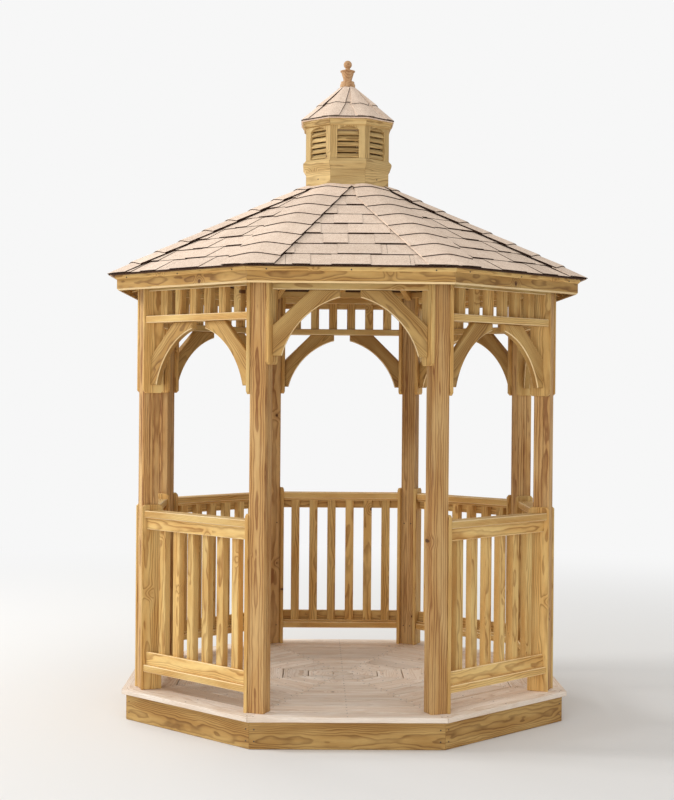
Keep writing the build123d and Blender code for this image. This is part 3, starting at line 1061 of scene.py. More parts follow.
@dataclass
class ValancePanels:
    """Seven valances like low railings hung under the plates, and the plain header of the entrance."""

    finishes: Finishes
    top_rail: float = 0.068
    flat_ease: float = 0.004

    def build(self) -> None:
        """Build the valances and the header."""
        low, top = PLAN.valance_low, PLAN.post_top
        foot, head = low + PLAN.flat_thickness, top - PLAN.flat_thickness
        drop = PLAN.below_brace + PLAN.brace_drop
        for bay in range(1, 8):
            pile = Pile(f"valance_{BAYS[bay]}_boards")
            side_boards(pile, bay, low - drop, top, Clip.FOOT)
            rail(pile, bay, PLAN.flat_inner, PLAN.flat_outer, low, foot, self.flat_ease)
            rail(pile, bay, PLAN.flat_inner, PLAN.rail_inner, head, top)
            rail(pile, bay, PLAN.rail_inner, PLAN.rail_outer, top - self.top_rail, top)
            uprights(pile, bay, foot, head)
            pile.dress(Slot.TIMBER, [f"valance_{BAYS[bay]}"], self.finishes.pine, self.finishes.arris)
        pile = Pile("front_header_boards")
        side_boards(pile, 0, PLAN.header_low - drop, top, Clip.FOOT)
        half = PLAN.header_thickness / 2
        rail(pile, 0, PLAN.panel_line - half, PLAN.panel_line + half, PLAN.header_low, top)
        pile.dress(Slot.TIMBER, ["front_header"], self.finishes.pine, self.finishes.arris)


@dataclass
class CornerBraces:
    """Two arched braces in every bay, sawn with the grain on the slant."""

    finishes: Finishes
    thickness: float = 0.038
    between: float = 0.102
    back: float = 0.184
    nib: float = 0.038
    foot: float = 0.043
    sag: float = 0.057
    arris: float = 0.0045
    head_gap: float = 0.0004
    back_gap: float = 0.0006
    back_band: float = 0.006
    steps: int = 17

    def outline(self, side: int, head: float) -> Array:
        """Work out a brace seen from the front: a slanting back, cut ends and a hollow arc.

        The arc's crest lies the sag off the middle of the line from the foot to the nib.

        Args:
            side: 1 at the bay's right end, -1 at its left.
            head: The height of its head.

        Returns:
            The corners, turning left, the arc's points first.
        """
        edge = half_side(PLAN.panel_line, PLAN.panel_clear - PLAN.fit)
        reach = edge - self.between / 2
        foot, nib = np.array((self.foot, PLAN.brace_drop)), np.array((reach, self.nib))
        unit = np.array((foot[1] - nib[1], nib[0] - foot[0])) / np.linalg.norm(nib - foot)
        crest = (foot + nib) / 2 - unit * self.sag
        rest = np.array((
            (reach, self.head_gap), (self.back, self.head_gap),
            (self.back_gap, self.back + self.head_gap - self.back_gap), (self.back_gap, PLAN.brace_drop),
        ))
        points = np.concatenate((arc(foot, crest, nib, self.steps), rest))
        placed = np.column_stack((side * (edge - points[:, 0]), head - points[:, 1]))
        return placed if side < 0 else np.roll(placed[::-1], self.steps, axis=0)

    def build(self) -> None:
        """Build one piece for each bay's pair."""
        for bay in SIDES:
            pile = Pile(f"braces_{BAYS[bay]}_pair")
            head = PLAN.valance_low if bay else PLAN.header_low
            for side in (-1, 1):
                outline = self.outline(side, head)
                # The arc's eased edges take the second finish, the paler pine: painted highlight.
                form = prism(outline, 0, self.thickness, self.arris, (), self.steps - 1)
                # The back follows the slant of the side board, a little longer towards the outside.
                edge = half_side(PLAN.panel_line, PLAN.panel_clear)
                backs = np.abs(form.points[:, 0]) > edge - self.back_band
                slant = (form.points[:, 2] - self.thickness / 2) * TAN
                form.points[backs, 0] += side * slant[backs]
                grain = Grain.LEAN_LEFT if side > 0 else Grain.LEAN_RIGHT
                pile.put(form, face_place(bay * TURN, PLAN.panel_line - self.thickness / 2), grain)
            pile.dress(Slot.TIMBER, [f"braces_{BAYS[bay]}"], self.finishes.figured, self.finishes.arris)


@dataclass
class Eaves:
    """The fascia boards, cut away along their lower outer edge, and the strips along their tops."""

    finishes: Finishes
    setback: float = 0.051
    thickness: float = 0.019
    height: float = 0.091
    lip: float = 0.009
    edge: float = 0.002
    strip_depth: float = 0.012
    strip_height: float = 0.025
    strip_foot: float = 0.0035
    strip_cut: float = 0.0085
    strip_gap: float = 0.0002
    outer: float = PLAN.eave_apothem - setback
    inner: float = outer - thickness
    top: float = PLAN.rafter_top(outer)
    low: float = top - height
    strip_outer: float = outer + strip_depth
    strip_top: float = PLAN.rafter_top(strip_outer)

    def build(self) -> None:
        """Build the fascia boards and the strips."""
        edge = self.edge
        board = np.array((
            (self.inner, self.low), (self.outer - self.lip, self.low), (self.outer, self.low + self.lip),
            (self.outer, self.top - edge), (self.outer - edge, self.top), (self.inner, self.top),
        ))
        back, front, top = self.outer + self.strip_gap, self.strip_outer, self.strip_top
        foot = top - self.strip_height
        cut = foot + self.strip_cut
        strip = np.array((
            (back, foot), (back + self.strip_foot, foot), (front - edge, cut - edge), (front, cut),
            (front, top - edge), (front - edge, top), (back, top),
        ))
        fascia, strips = Pile("fascia_lengths"), Pile("eave_strip_lengths")
        # The lip's chamfer takes the second finish, the paler pine: painted highlight.
        fascia.ring(mitred(board, PLAN.joint, (1,)), Grain.STAND)
        # The strips all take the lightest tone: painted light, so they read as a lit band.
        strips.ring(mitred(strip, PLAN.joint), Grain.STAND, 1.0)
        fascia.dress(Slot.TIMBER, ["fascia_boards"], self.finishes.figured, self.finishes.arris)
        strips.dress(Slot.TIMBER, ["eave_strips"], self.finishes.pine)


@dataclass
class RoofFrame:
    """Plates on the posts, a hip rafter over each post, a common rafter over each bay, and boards."""

    finishes: Finishes
    eaves: Eaves
    width: float = 0.038
    depth: float = 0.089
    tail_lift: float = 0.020
    hip_depth: float = 0.140
    hip_heel_drop: float = 0.050
    rafter_ease: float = 0.0015
    board: float = 0.140
    board_gap: float = 0.003
    board_setback: float = 0.024
    board_end: float = 0.001
    least_board: float = 0.020

    def build(self) -> None:
        """Build the plates, the rafters and the roof boards."""
        plates = Pile("plate_lengths")
        half = PLAN.plate_width / 2
        outline = rectangle(PLAN.bay_line - half, PLAN.bay_line + half, PLAN.post_top, PLAN.plate_top)
        plates.ring(mitred(eased(outline, PLAN.ease), PLAN.joint))
        plates.dress(Slot.TIMBER, ["top_plates"], self.finishes.pine)
        self.rafters()
        self.boards()

    def rafters(self) -> None:
        """Build the rafters: side views in distance and height, carried across their width."""
        pile = Pile("rafter_lengths")
        fit, top = PLAN.fit, PLAN.rafter_top
        overlap = self.width / 2 * TAN
        bevel = self.width / 2 * math.sin(TURN / 2) * PLAN.slope
        plate_inner = PLAN.bay_line - PLAN.plate_width / 2
        plate_outer = PLAN.bay_line + PLAN.plate_width / 2
        hip_outer = self.eaves.inner / COS - overlap - fit
        hip_inner = PLAN.curb_apothem / COS + overlap + fit
        heel = max(PLAN.post_ring + PLAN.post_size / 2, plate_outer / COS) + fit
        seat = plate_inner / COS - overlap - fit
        fall = self.hip_depth / math.cos(math.atan(PLAN.slope * COS))
        hip = np.array((
            (hip_inner, top(hip_inner * COS) - bevel),
            (hip_inner, top(hip_inner * COS) - fall),
            (seat, top(seat * COS) - fall),
            (seat, PLAN.plate_top + fit),
            (heel, PLAN.plate_top + fit),
            (heel, PLAN.post_top - self.hip_heel_drop),
            (hip_outer, self.eaves.low),
            (hip_outer, top(hip_outer * COS) - bevel),
        ))
        fall = self.depth / math.cos(math.atan(PLAN.slope))
        outer, inner = self.eaves.inner - fit, PLAN.curb_apothem + fit
        notch = max(plate_outer, PLAN.rail_outer) + fit
        common = np.array((
            (inner, top(inner)),
            (inner, top(inner) - fall),
            (plate_inner - fit, top(plate_inner) - fall),
            (plate_inner - fit, PLAN.plate_top + fit),
            (notch, PLAN.plate_top + fit),
            (notch, top(notch) - fall),
            (outer, top(outer) - fall + self.tail_lift),
            (outer, top(outer)),
        ))
        for bay in SIDES:
            for outline, angle in ((hip, (bay + 0.5) * TURN), (common, bay * TURN)):
                form = prism(outline, -self.width / 2, self.width / 2, self.rafter_ease)
                pile.put(form, bar_place(angle), Grain.REACH)
        pile.dress(Slot.TIMBER, ["roof_rafters"], self.finishes.pine)

    def boards(self) -> None:
        """Build the planks under the shingles, laid across each side from the eave up."""
        pile = Pile("roof_planks")
        outer = PLAN.eave_apothem - self.board_setback
        lower = PLAN.roof_height(outer) - PLAN.layer_drop
        length = (outer - PLAN.curb_apothem) / PLAN.run_part
        starts = np.arange(0, length - self.least_board, self.board + self.board_gap)
        for bay in SIDES:
            place = slope_place(bay * TURN, outer, lower, PLAN.slope)
            for start in starts:
                end = min(start + self.board, length - self.board_end)
                section = eased(rectangle(start, end, PLAN.fit, PLAN.boarding - PLAN.fit), self.rafter_ease)
                reach = half_side(outer - section[:, 0] * PLAN.run_part, self.board_end)
                pile.put(prism(section, -reach, reach), place)
        # The planks take the dark pine: painted shade for the roof's shaded underside.
        pile.dress(Slot.TIMBER, ["roof_boards"], self.finishes.painted_shade)


@dataclass(frozen=True)
class HipLine:
    """One hip of an eight-sided roof, and the sheets that are bent over it.

    A sheet's point is hip(s) + w (right - left) / 2 + g(w) (right + left) / 2, where s runs up the hip
    and w across the sheet, right and left are the unit vectors square to the hip in the two sides, and
    g(w) = sqrt(w squared + bend squared) - bend / 2 rounds the fold.
    """

    angle: float
    eave: float
    head: float
    height: float
    slope: float
    bend: float
    columns: int = 17
    lip: float = 0.003
    clear: float = 0.0006
    under: float = 0.001
    tones: tuple = (0.15, 0.95)

    @property
    def foot(self) -> Array:
        """Return the hip's lower end."""
        return outward(self.angle) * self.eave / COS + UP * self.height

    @property
    def rise(self) -> Array:
        """Return the vector from the lower end to the upper."""
        drop = self.eave - self.head
        return UP * drop * self.slope - outward(self.angle) * drop / COS

    @property
    def length(self) -> float:
        """Return the hip's length."""
        return float(np.linalg.norm(self.rise))

    def facing(self, hand: int) -> Array:
        """Return the level vector out of the side at the right, 1, or the left, -1."""
        return outward(self.angle + hand * TURN / 2)

    def normal(self, hand: int) -> Array:
        """Return the unit vector square to a side."""
        return (self.facing(hand) * self.slope + UP) / math.hypot(1, self.slope)

    def across(self, hand: int) -> Array:
        """Return the unit vector in a side and square to the hip, away from it."""
        way = np.cross(self.normal(hand), self.rise / self.length)
        return way * np.sign(way @ along(self.angle)) * hand

    def room(self, spots: Array) -> Array:
        """Return the widths of a side at spots along the hip, measured square to the hip."""
        distance = self.eave + (self.head - self.eave) * spots / self.length
        return 2 * half_side(distance) * float(self.across(1) @ along(self.angle + TURN / 2))

    def sheet(
        self, pile: Pile, span: tuple, left: Array, right: Array, rises: Sequence[float], painted_lit_left: bool
    ) -> None:
        """Put one bent sheet, thick at its foot; what would pass the eave is drawn back up the hip.

        Args:
            pile: Where it goes.
            span: Where along the hip it starts and ends.
            left: Its widths to the left at both ends.
            right: Its widths to the right at both ends.
            rises: How high its top lies at the foot, just above it and at the upper end.
            painted_lit_left: Whether its left rim takes the pale granules instead of the dark felt, painted
                light on a lit edge.
        """
        climb = self.rise / self.length
        lift = self.normal(-1) + self.normal(1)
        lift /= np.linalg.norm(lift)
        across = np.linspace(-1, 1, self.columns)
        stations = np.array((span[0], span[0] + self.lip, span[1]))
        share = ((stations - span[0]) / (span[1] - span[0]))[:, None]
        widths = [edge[0] + (edge[1] - edge[0]) * share for edge in (left, right)]
        width = np.where(across < 0, *widths) * across
        fold = np.sqrt(width**2 + self.bend**2) - self.bend / 2
        ways = self.across(1) - self.across(-1), self.across(1) + self.across(-1)
        top = self.foot + stations[:, None, None] * climb + np.array(rises)[:, None, None] * lift
        top = top + width[..., None] * ways[0] / 2 + fold[..., None] * ways[1] / 2
        past = np.maximum(top @ self.facing(-1), top @ self.facing(1)) - (self.eave - self.clear)
        top = top + (np.maximum(past, 0) / -float(climb @ self.facing(1)))[..., None] * climb
        bottom = top - (np.array(rises) + self.under)[:, None, None] * lift
        form = slab(top.swapaxes(0, 1)[::-1], bottom.swapaxes(0, 1)[::-1])
        # Where the flag is set, the left rim takes the pale granules instead of the dark felt: painted light
        # on the lit edge; the right rim keeps the dark felt.
        if painted_lit_left:
            # The rim's faces come last: along the foot, up the left, along the head and down the right.
            edge = len(form.finish) - self.columns - 3
            form.finish[edge:edge + 2] = 0
        pile.put(form, WORLD, Grain.RUN, pile.chance.uniform(*self.tones))


@dataclass
class ShingledRoof:
    """Courses of laminated shingles on eight sides and bent shingles over the hips."""

    finishes: Finishes
    exposure: float = 0.143
    lap: float = 0.030
    base: float = 0.0062
    thin: float = 0.0012
    tab: float = 0.0034
    tab_root: float = 0.002
    bed: float = 0.0085
    foot: float = 0.0018
    nose: float = 0.001
    joint: float = 0.0008
    sliver: float = 0.004
    point: float = 0.0005
    spill: float = 0.030
    head_gap: float = 0.001
    least_course: float = 0.010
    least_end: float = 0.020
    widths: tuple = (0.5, 1.0)
    tones: tuple = (0.25, 0.75)
    tab_widths: tuple = (0.07, 0.24)
    tab_lap: float = 0.004
    tab_play: float = 0.0025
    tab_head: float = 0.6
    cap_low: float = 0.149
    cap_high: float = 0.131
    cap_lap: float = 0.020
    tuck: float = 0.005
    foot_rises: tuple = (0.0022, 0.0036, 0.0026)
    rises: tuple = (0.0078, 0.0092, 0.0022)
    bend: float = 0.030

    def build(self) -> None:
        """Build the courses and the hips as one piece."""
        pile = Pile("roof_shingle_courses")
        for bay in SIDES:
            self.courses(pile, bay * TURN)
        for corner in SIDES:
            self.hip(pile, corner)
        pile.dress(Slot.SHINGLES, ["roof_shingles"], self.finishes.granules, self.finishes.felt)

    def courses(self, pile: Pile, angle: float) -> None:
        """Lay one side: wedges across it, each thick at its lower edge, and raised tabs on them.

        Args:
            pile: Where they go.
            angle: The side's angle.
        """
        eave, nose = PLAN.eave_apothem, self.nose
        place = slope_place(angle, eave, PLAN.roof_height(eave), PLAN.slope)
        length = (eave - PLAN.curb_apothem) / PLAN.run_part - self.head_gap
        low, top = -self.bed, self.base - self.bed
        for start in np.arange(0, length - self.least_course, self.exposure):
            first = start + self.foot
            end = min(start + self.exposure + self.lap, length)
            reach = (eave - (start + self.exposure) * PLAN.run_part) * TAN + self.spill
            ends = self.breaks(pile, reach, self.widths)
            section = np.array((
                (first, low), (end, low), (end, low + self.thin),
                (first + 2 * nose, top), (first, top - nose),
            ))
            for left, right in zip(ends[:-1], ends[1:]):
                tone = pile.chance.uniform(*self.tones)
                self.cut(pile, place, section, left + self.joint, right - self.joint, tone)
            spots = self.breaks(pile, reach, self.tab_widths)
            finish = min(start + self.exposure + self.tab_lap, length)
            root, crest = top - self.tab_root, top + self.tab
            for left, right in zip(spots[::2], spots[1::2]):
                late = first + pile.chance.uniform(0, self.tab_play)
                fall = (finish - late) / (end - first) * (self.base - self.thin)
                section = np.array((
                    (late, root), (finish, root - fall), (finish, top - fall + self.tab * self.tab_head),
                    (late + 2 * nose, crest), (late, crest - nose),
                ))
                self.cut(pile, place, section, left, right, pile.chance.uniform())

    def breaks(self, pile: Pile, reach: float, widths: tuple) -> Array:
        """Return the ends of a row of pieces of chance widths that fills a side.

        Args:
            pile: Whose chances are drawn.
            reach: How far the row runs to either hand.
            widths: The narrowest and the widest piece.

        Returns:
            The rising places of the joints, both ends included.
        """
        steps = pile.chance.uniform(*widths, int(2 * reach / widths[0]) + 2)
        marks = np.cumsum(steps) - reach - pile.chance.uniform(0, widths[0])
        return np.concatenate(((-reach,), marks[marks < reach - self.least_end], (reach,)))

    def cut(self, pile: Pile, place: Place, section: Array, left: float, right: float, tone: float) -> None:
        """Put one wedge or tab, its ends cut where the hips pass.

        Args:
            pile: Where it goes.
            place: The side's place, with the climb, the lift and the line along it.
            section: The wedge's section in climb and lift.
            left: Its left end.
            right: Its right end.
            tone: Its tone.
        """
        reach = (PLAN.eave_apothem - section[:, 0] * PLAN.run_part) * TAN
        low, high = np.maximum(left, -reach), np.minimum(right, reach)
        thin = high - low < self.sliver
        if np.all(thin):
            return
        if np.any(thin):
            # What ends in a point past the hip keeps a little width there.
            if left < 0:
                high = np.maximum(high, low + self.point)
            low = np.minimum(low, high - self.point)
        pile.put(prism(section, low, high, 0.0, (3, 4)), place, Grain.RUN, tone)

    def hip(self, pile: Pile, corner: int) -> None:
        """Lay one hip's sheets; near the top each left side tucks under the next hip's right side.

        Args:
            pile: Where they go.
            corner: The hip's number, from the front's right end.
        """
        height = PLAN.roof_height(PLAN.eave_apothem)
        line = HipLine(
            (corner + 0.5) * TURN, PLAN.eave_apothem, PLAN.curb_apothem, height, PLAN.slope, self.bend
        )
        spacing = self.exposure * line.length / ((line.eave - line.head) * math.hypot(1, line.slope))
        for start in np.arange(0, line.length - self.cap_lap, spacing):
            end = min(start + spacing + self.cap_lap, line.length - 2 * self.head_gap)
            span = np.array((start, end))
            wide = self.cap_low + (self.cap_high - self.cap_low) * span / line.length
            left = np.minimum(wide, line.room(span) - wide + self.tuck)
            rises = self.foot_rises if start == 0 else self.rises
            # On the front-right hip, and on every hip's lowest sheet, the left rim is painted light.
            line.sheet(pile, span, left, wide, rises, corner == 0 or start == 0)


@dataclass
class Cupola:
    """The lantern: a curb on the rafters, a sill, walls with arched louvres, and a crown.

    The small numbers in the sill's and the crown's outlines are the steps of their mouldings.
    """

    finishes: Finishes
    curb_wall: float = 0.030
    curb_ease: float = 0.002
    below_roof: float = 0.110
    above_roof: float = 0.077
    sill_projection: float = 0.0155
    sill_edge: float = 0.016
    sill_height: float = 0.065
    height: float = 0.184
    wall: float = 0.019
    wall_edge: float = 0.002
    wall_ease: float = 0.0018
    opening: float = 0.121
    head: float = 0.025
    arch: float = 0.021
    arch_steps: int = 13
    count: int = 6
    slat: float = 0.007
    slat_gap: float = 0.0005
    slat_ease: float = 0.0012
    tilt: float = math.radians(55)
    cover: float = 0.91
    setback: float = 0.003
    crown_projection: float = 0.0175
    crown_height: float = 0.037
    outer: float = PLAN.lantern_apothem
    inner: float = outer - wall
    curb_high: float = PLAN.roof_height(PLAN.curb_apothem) + above_roof
    sill_top: float = curb_high + sill_height
    top: float = sill_top + height
    crown_top: float = top + crown_height
    spring: float = top - head

    def build(self) -> None:
        """Build the curb, the sill, the walls, the slats and the crown."""
        curb_apothem, foot, top = PLAN.curb_apothem, self.curb_high, self.sill_top
        curb_low = PLAN.rafter_top(curb_apothem) - self.below_roof
        curb = rectangle(curb_apothem - self.curb_wall, curb_apothem, curb_low, foot)
        wide, edge = self.outer + self.sill_projection, top - self.sill_edge
        sill = np.array((
            (self.inner, foot), (curb_apothem, foot), (curb_apothem + 0.001, foot + 0.006),
            (wide - 0.001, top - 0.034), (wide, top - 0.031), (wide, edge - 0.003),
            (wide - 0.002, edge), (self.outer + 0.001, top - 0.001), (self.inner, top),
        ))
        full, head = self.outer + self.crown_projection, self.crown_top
        crown = np.array((
            (self.inner, self.top), (self.outer, self.top), (full - 0.007, self.top + 0.006),
            (full - 0.005, head - 0.012), (full, head - 0.010), (full, head - 0.001),
            (full - 0.001, head), (self.inner, head),
        ))
        for name, node, outline in (
            ("curb_lengths", "cupola_curb", eased(curb, self.curb_ease)),
            ("sill_lengths", "cupola_sill", sill),
            ("crown_lengths", "cupola_crown", crown),
        ):
            pile = Pile(name)
            pile.ring(mitred(outline, PLAN.mitre), Grain.STAND)
            pile.dress(Slot.TIMBER, [node], self.finishes.lantern)
        self.walls()
        self.louvers()

    def walls(self) -> None:
        """Build the wall boards: an upside-down U round each opening, its outer ends mitred."""
        pile = Pile("lantern_wall_boards")
        half = self.opening / 2
        bow = arc((half, self.spring), (0, self.spring + self.arch), (-half, self.spring), self.arch_steps)
        bow = np.concatenate((((half, self.sill_top),), bow, ((-half, self.sill_top),)))
        rings = []
        for distance, ease in (
            (self.inner, 0.0), (self.outer - self.wall_edge, 0.0), (self.outer, self.wall_ease)
        ):
            edge = half_side(distance, PLAN.mitre)
            raised = np.where(bow[:, 1:] > self.sill_top, (0, ease), (0, 0))
            gap = bow + np.sign(bow) * (ease, 0) + raised
            sides = ((edge, self.sill_top), (edge, self.top), (-edge, self.top))
            line = np.concatenate((((-edge, self.sill_top),), gap[::-1], sides))
            rings.append(np.column_stack((line, np.full(len(line), distance))))
        form = run(np.stack(rings))
        for bay in SIDES:
            pile.put(form, face_place(bay * TURN), Grain.RISE)
        pile.dress(Slot.TIMBER, ["cupola_walls"], self.finishes.lantern)

    def louvers(self) -> None:
        """Build the slats, the top one with its ends drawn down to follow the arch."""
        pile = Pile("louver_slats")
        pitch = (self.height - self.head) / (self.count - 1)
        sine, cosine = math.sin(self.tilt), math.cos(self.tilt)
        # A slat's upright extent, depth sine + thickness cosine, is the cover's share of the spacing.
        depth = (pitch * self.cover - self.slat * cosine) / sine
        distance = self.outer - self.setback - (depth * cosine + self.slat * sine) / 2
        size = np.array((self.opening / 2 - self.slat_gap, depth / 2))
        # Only what shows under the arch is left of the last slat.
        last = ((-0.98, -1), (0.98, -1), (0.92, -0.45), (0.5, 0.3), (-0.5, 0.3), (-0.92, -0.45))
        outlines = [rectangle(-1, 1, -1, 1)] * (self.count - 1) + [np.array(last)]
        for bay in SIDES:
            out, level = outward(bay * TURN), along(bay * TURN)
            facing = out * sine + UP * cosine
            axes = np.array((level, np.cross(facing, level), facing))
            for step, outline in enumerate(outlines):
                origin = out * distance + UP * (self.sill_top + (step + 0.5) * pitch)
                form = prism(outline * size, -self.slat / 2, self.slat / 2, self.slat_ease)
                # A slat's underside takes the dark pine: painted shade for the dark gap under each slat.
                form.finish[-2] = 1
                pile.put(form, Place(origin, axes), Grain.REACH)
        pile.dress(Slot.TIMBER, ["cupola_louvers"], self.finishes.lantern, self.finishes.painted_shade)


@dataclass
class CapRoof:
    """The cupola's roof: two courses on eight steep sides, and bent shingles down its hips.

    A wedge's levels are its underside, its upper end, the top of its foot and the foot's eased edge.
    """

    finishes: Finishes
    low: float
    overhang: float = 0.010
    edge: float = 0.008
    slope: float = math.tan(math.radians(42.8))
    head: float = 0.039
    core_step: float = 0.004
    core_edge: float = 0.003
    core_drop: float = 0.001
    wedge: tuple = (-0.006, -0.001, 0.003, 0.001)
    course: float = 0.142
    course_length: float = 0.165
    gap: float = 0.0005
    joint: float = 0.140
    joint_play: float = 0.012
    lap: float = 0.020
    head_gap: float = 0.002
    sheet: float = 0.055
    sheet_share: float = 0.96
    least_sheet: float = 0.003
    tuck: float = 0.004
    bend: float = 0.016
    foot_rises: tuple = (0.0040, 0.0052, 0.0040)
    rises: tuple = (0.0078, 0.0090, 0.0050)
    apothem: float = PLAN.lantern_apothem + Cupola.crown_projection + overhang

    @property
    def top(self) -> float:
        """Return the height of the flat under the finial."""
        return self.low + self.edge + (self.apothem - self.head) * self.slope

    def build(self) -> None:
        """Build the core, the courses and the hips."""
        pile = Pile("cap_roof_shingles")
        step, level = self.core_step, self.low + self.edge
        rings = np.stack([
            np.column_stack((octagon(size), np.full(8, height)))
            for size, height in (
                (self.apothem - step, self.low), (self.apothem, level - self.core_edge),
                (self.apothem - step, level), (self.head - step, self.top - self.core_drop),
            )
        ])
        pile.put(run(rings), WORLD, Grain.RUN, 0.5)
        self.courses(pile)
        self.hips(pile)
        pile.dress(Slot.SHINGLES, ["cupola_roof"], self.finishes.granules, self.finishes.felt)

    def courses(self, pile: Pile) -> None:
        """Lay two courses on each side as wedges cut at the hips.

        Args:
            pile: Where they go.
        """
        run_part = math.cos(math.atan(self.slope))
        length = (self.apothem - self.head) / run_part
        under, thin, thick, nose = self.wedge
        for bay in SIDES:
            place = slope_place(bay * TURN, self.apothem, self.low + self.edge, self.slope)
            for start in (0.0, self.course):
                end = min(start + self.course_length, length - self.head_gap)
                section = np.array((
                    (start, under), (end, under), (end, thin), (start + thick, thick), (start, nose),
                ))
                reach = (self.apothem - section[:, 0] * run_part) * TAN
                marks = (-1.0, 1.0) if start else (-1.0, pile.chance.uniform(-0.5, 0.5), 1.0)
                for left, right in zip(marks[:-1], marks[1:]):
                    form = prism(section, left * reach + self.gap, right * reach - self.gap, 0.0, (3, 4))
                    pile.put(form, place, Grain.RUN, pile.chance.uniform())

    def hips(self, pile: Pile) -> None:
        """Lay two bent sheets down each hip, their right sides over the next hip's left.

        Args:
            pile: Where they go.
        """
        for corner in SIDES:
            angle = (corner + 0.5) * TURN
            line = HipLine(angle, self.apothem, self.head, self.low + self.edge, self.slope, self.bend)
            joint = self.joint + pile.chance.uniform(-self.joint_play, self.joint_play)
            lower, upper = (0.0, joint + self.lap), (joint, line.length - self.head_gap)
            for span, rises in ((lower, self.foot_rises), (upper, self.rises)):
                room = line.room(np.array(span))
                right = np.minimum(self.sheet, room * self.sheet_share)
                left = np.maximum(np.minimum(self.sheet, room - right + self.tuck), self.least_sheet)
                # Every sheet's left rim is painted light.
                line.sheet(pile, span, left, right, rises, True)


@dataclass
class Finial:
    """The turned finial: a profile of radii and heights, topped by a ball, carried round the axis."""

    finishes: Finishes
    base: float
    profile: tuple = (
        (0.0425, 0.0), (0.044, 0.002), (0.044, 0.016), (0.0435, 0.0185), (0.042, 0.020),
        (0.0392, 0.0256), (0.039, 0.028), (0.039, 0.0335), (0.0375, 0.0355), (0.034, 0.0368),
        (0.0262, 0.040), (0.024, 0.0424), (0.0245, 0.047), (0.0268, 0.056), (0.0302, 0.067),
        (0.0336, 0.078), (0.0362, 0.088), (0.037, 0.0925), (0.0424, 0.0930), (0.043, 0.0942),
        (0.043, 0.0978), (0.0416, 0.0990), (0.030, 0.1014), (0.0210, 0.1046), (0.0150, 0.108),
        (0.0128, 0.1112), (0.0130, 0.1136),
    )
    ball_height: float = 0.1346
    ball_radius: float = 0.024
    ball_steps: int = 14
    ball_top: float = 0.02
    round_steps: int = 48

    def build(self) -> None:
        """Build the finial: rings at each height, their points the radius times a turn's cosine and sine."""
        radius = self.ball_radius
        neck = math.asin(self.profile[-1][0] / radius)
        swing = np.linspace(neck, math.pi - self.ball_top, self.ball_steps)
        ball = np.column_stack((radius * np.sin(swing), self.ball_height - radius * np.cos(swing)))
        profile = np.concatenate((self.profile, ball)) + (0, self.base)
        turn = np.linspace(0, 2 * math.pi, self.round_steps, endpoint=False)
        ring = np.column_stack((np.cos(turn), np.sin(turn), np.zeros(self.round_steps)))
        rings = profile[:, 0, None, None] * ring + profile[:, 1, None, None] * UP
        pile = Pile("finial_turning")
        pile.put(run(rings), WORLD, Grain.RUN, 0.4)
        pile.dress(Slot.TIMBER, ["cupola_finial"], self.finishes.turned)


@dataclass
class Fixings:
    """The heads of nails and screws, low domes sunk a little into the boards.

    Heights are from the deck on the posts and from the ground on the skirt, offsets from a face's middle.
    """

    finishes: Finishes
    eaves: Eaves
    curb_high: float
    radius: float = 0.0042
    height: float = 0.0009
    root: float = 0.002
    post_heights: tuple = (0.119, 0.782)
    post_offsets: tuple = (-0.022, 0.022)
    strip_offsets: tuple = (-0.423, 0.0, 0.423)
    strip_drop: float = 0.018
    curb_drop: float = 0.048
    skirt_offsets: tuple = (-0.47, 0.47)
    skirt_heights: tuple = (0.04, 0.10)
    board_insets: tuple = (0.028, 0.112)
    board_rings: int = 8
    board_edge: float = 0.018
    least_edge: float = 0.020
    deck_sink: float = 0.0004

    def head(self) -> Form:
        """Work out one head: a ring carried up and in to a small flat.

        Returns:
            The solid.
        """
        turn = np.arange(8) * TURN
        ring = np.column_stack((np.cos(turn), np.sin(turn), np.zeros(8))) * self.radius
        levels = ((1, -self.root), (1, self.height * 0.5), (0.6, self.height))
        return run(np.stack([ring * share + UP * level for share, level in levels]))

    def build(self) -> None:
        """Build the heads on the posts, eave strips, curb, skirt and deck."""
        pile = Pile("nail_heads")
        head = self.head()
        for corner in SIDES:
            face = face_place((corner + 0.5) * TURN + math.pi, PLAN.post_size / 2 - PLAN.post_ring)
            for height in self.post_heights:
                for offset in self.post_offsets:
                    pile.put(head, face.moved(offset, PLAN.deck_level + height))
        for bay in SIDES:
            angle = bay * TURN
            strip = face_place(angle, self.eaves.strip_outer)
            for offset in self.strip_offsets:
                pile.put(head, strip.moved(offset, self.eaves.strip_top - self.strip_drop))
            if bay % 2:
                curb = face_place(angle, PLAN.curb_apothem)
                pile.put(head, curb.moved(0.0, self.curb_high - self.curb_drop))
            skirt = face_place(angle, PLAN.skirt_apothem)
            for offset in self.skirt_offsets:
                for height in self.skirt_heights:
                    pile.put(head, skirt.moved(offset, height))
            self.deck(pile, head, angle)
        pile.dress(Slot.TIMBER, [], self.finishes.steel)

    def deck(self, pile: Pile, head: Form, angle: float) -> None:
        """Put the screws of one bay's deck boards, in pairs over the spokes.

        Args:
            pile: Where they go.
            head: The head's form.
            angle: The bay's angle.
        """
        floor = upright_place(angle, 0.0).moved(0.0, 0.0, PLAN.deck_level)
        for ring in range(self.board_rings):
            outer = PLAN.deck_apothem - (Platform.board + Platform.gap) * ring
            for inward in self.board_insets:
                distance = outer - inward
                edge = half_side(distance) - self.board_edge
                for offset in (-edge, 0.0, edge):
                    if edge > self.least_edge or offset == 0.0:
                        pile.put(head, floor.moved(offset, -distance, -self.deck_sink))


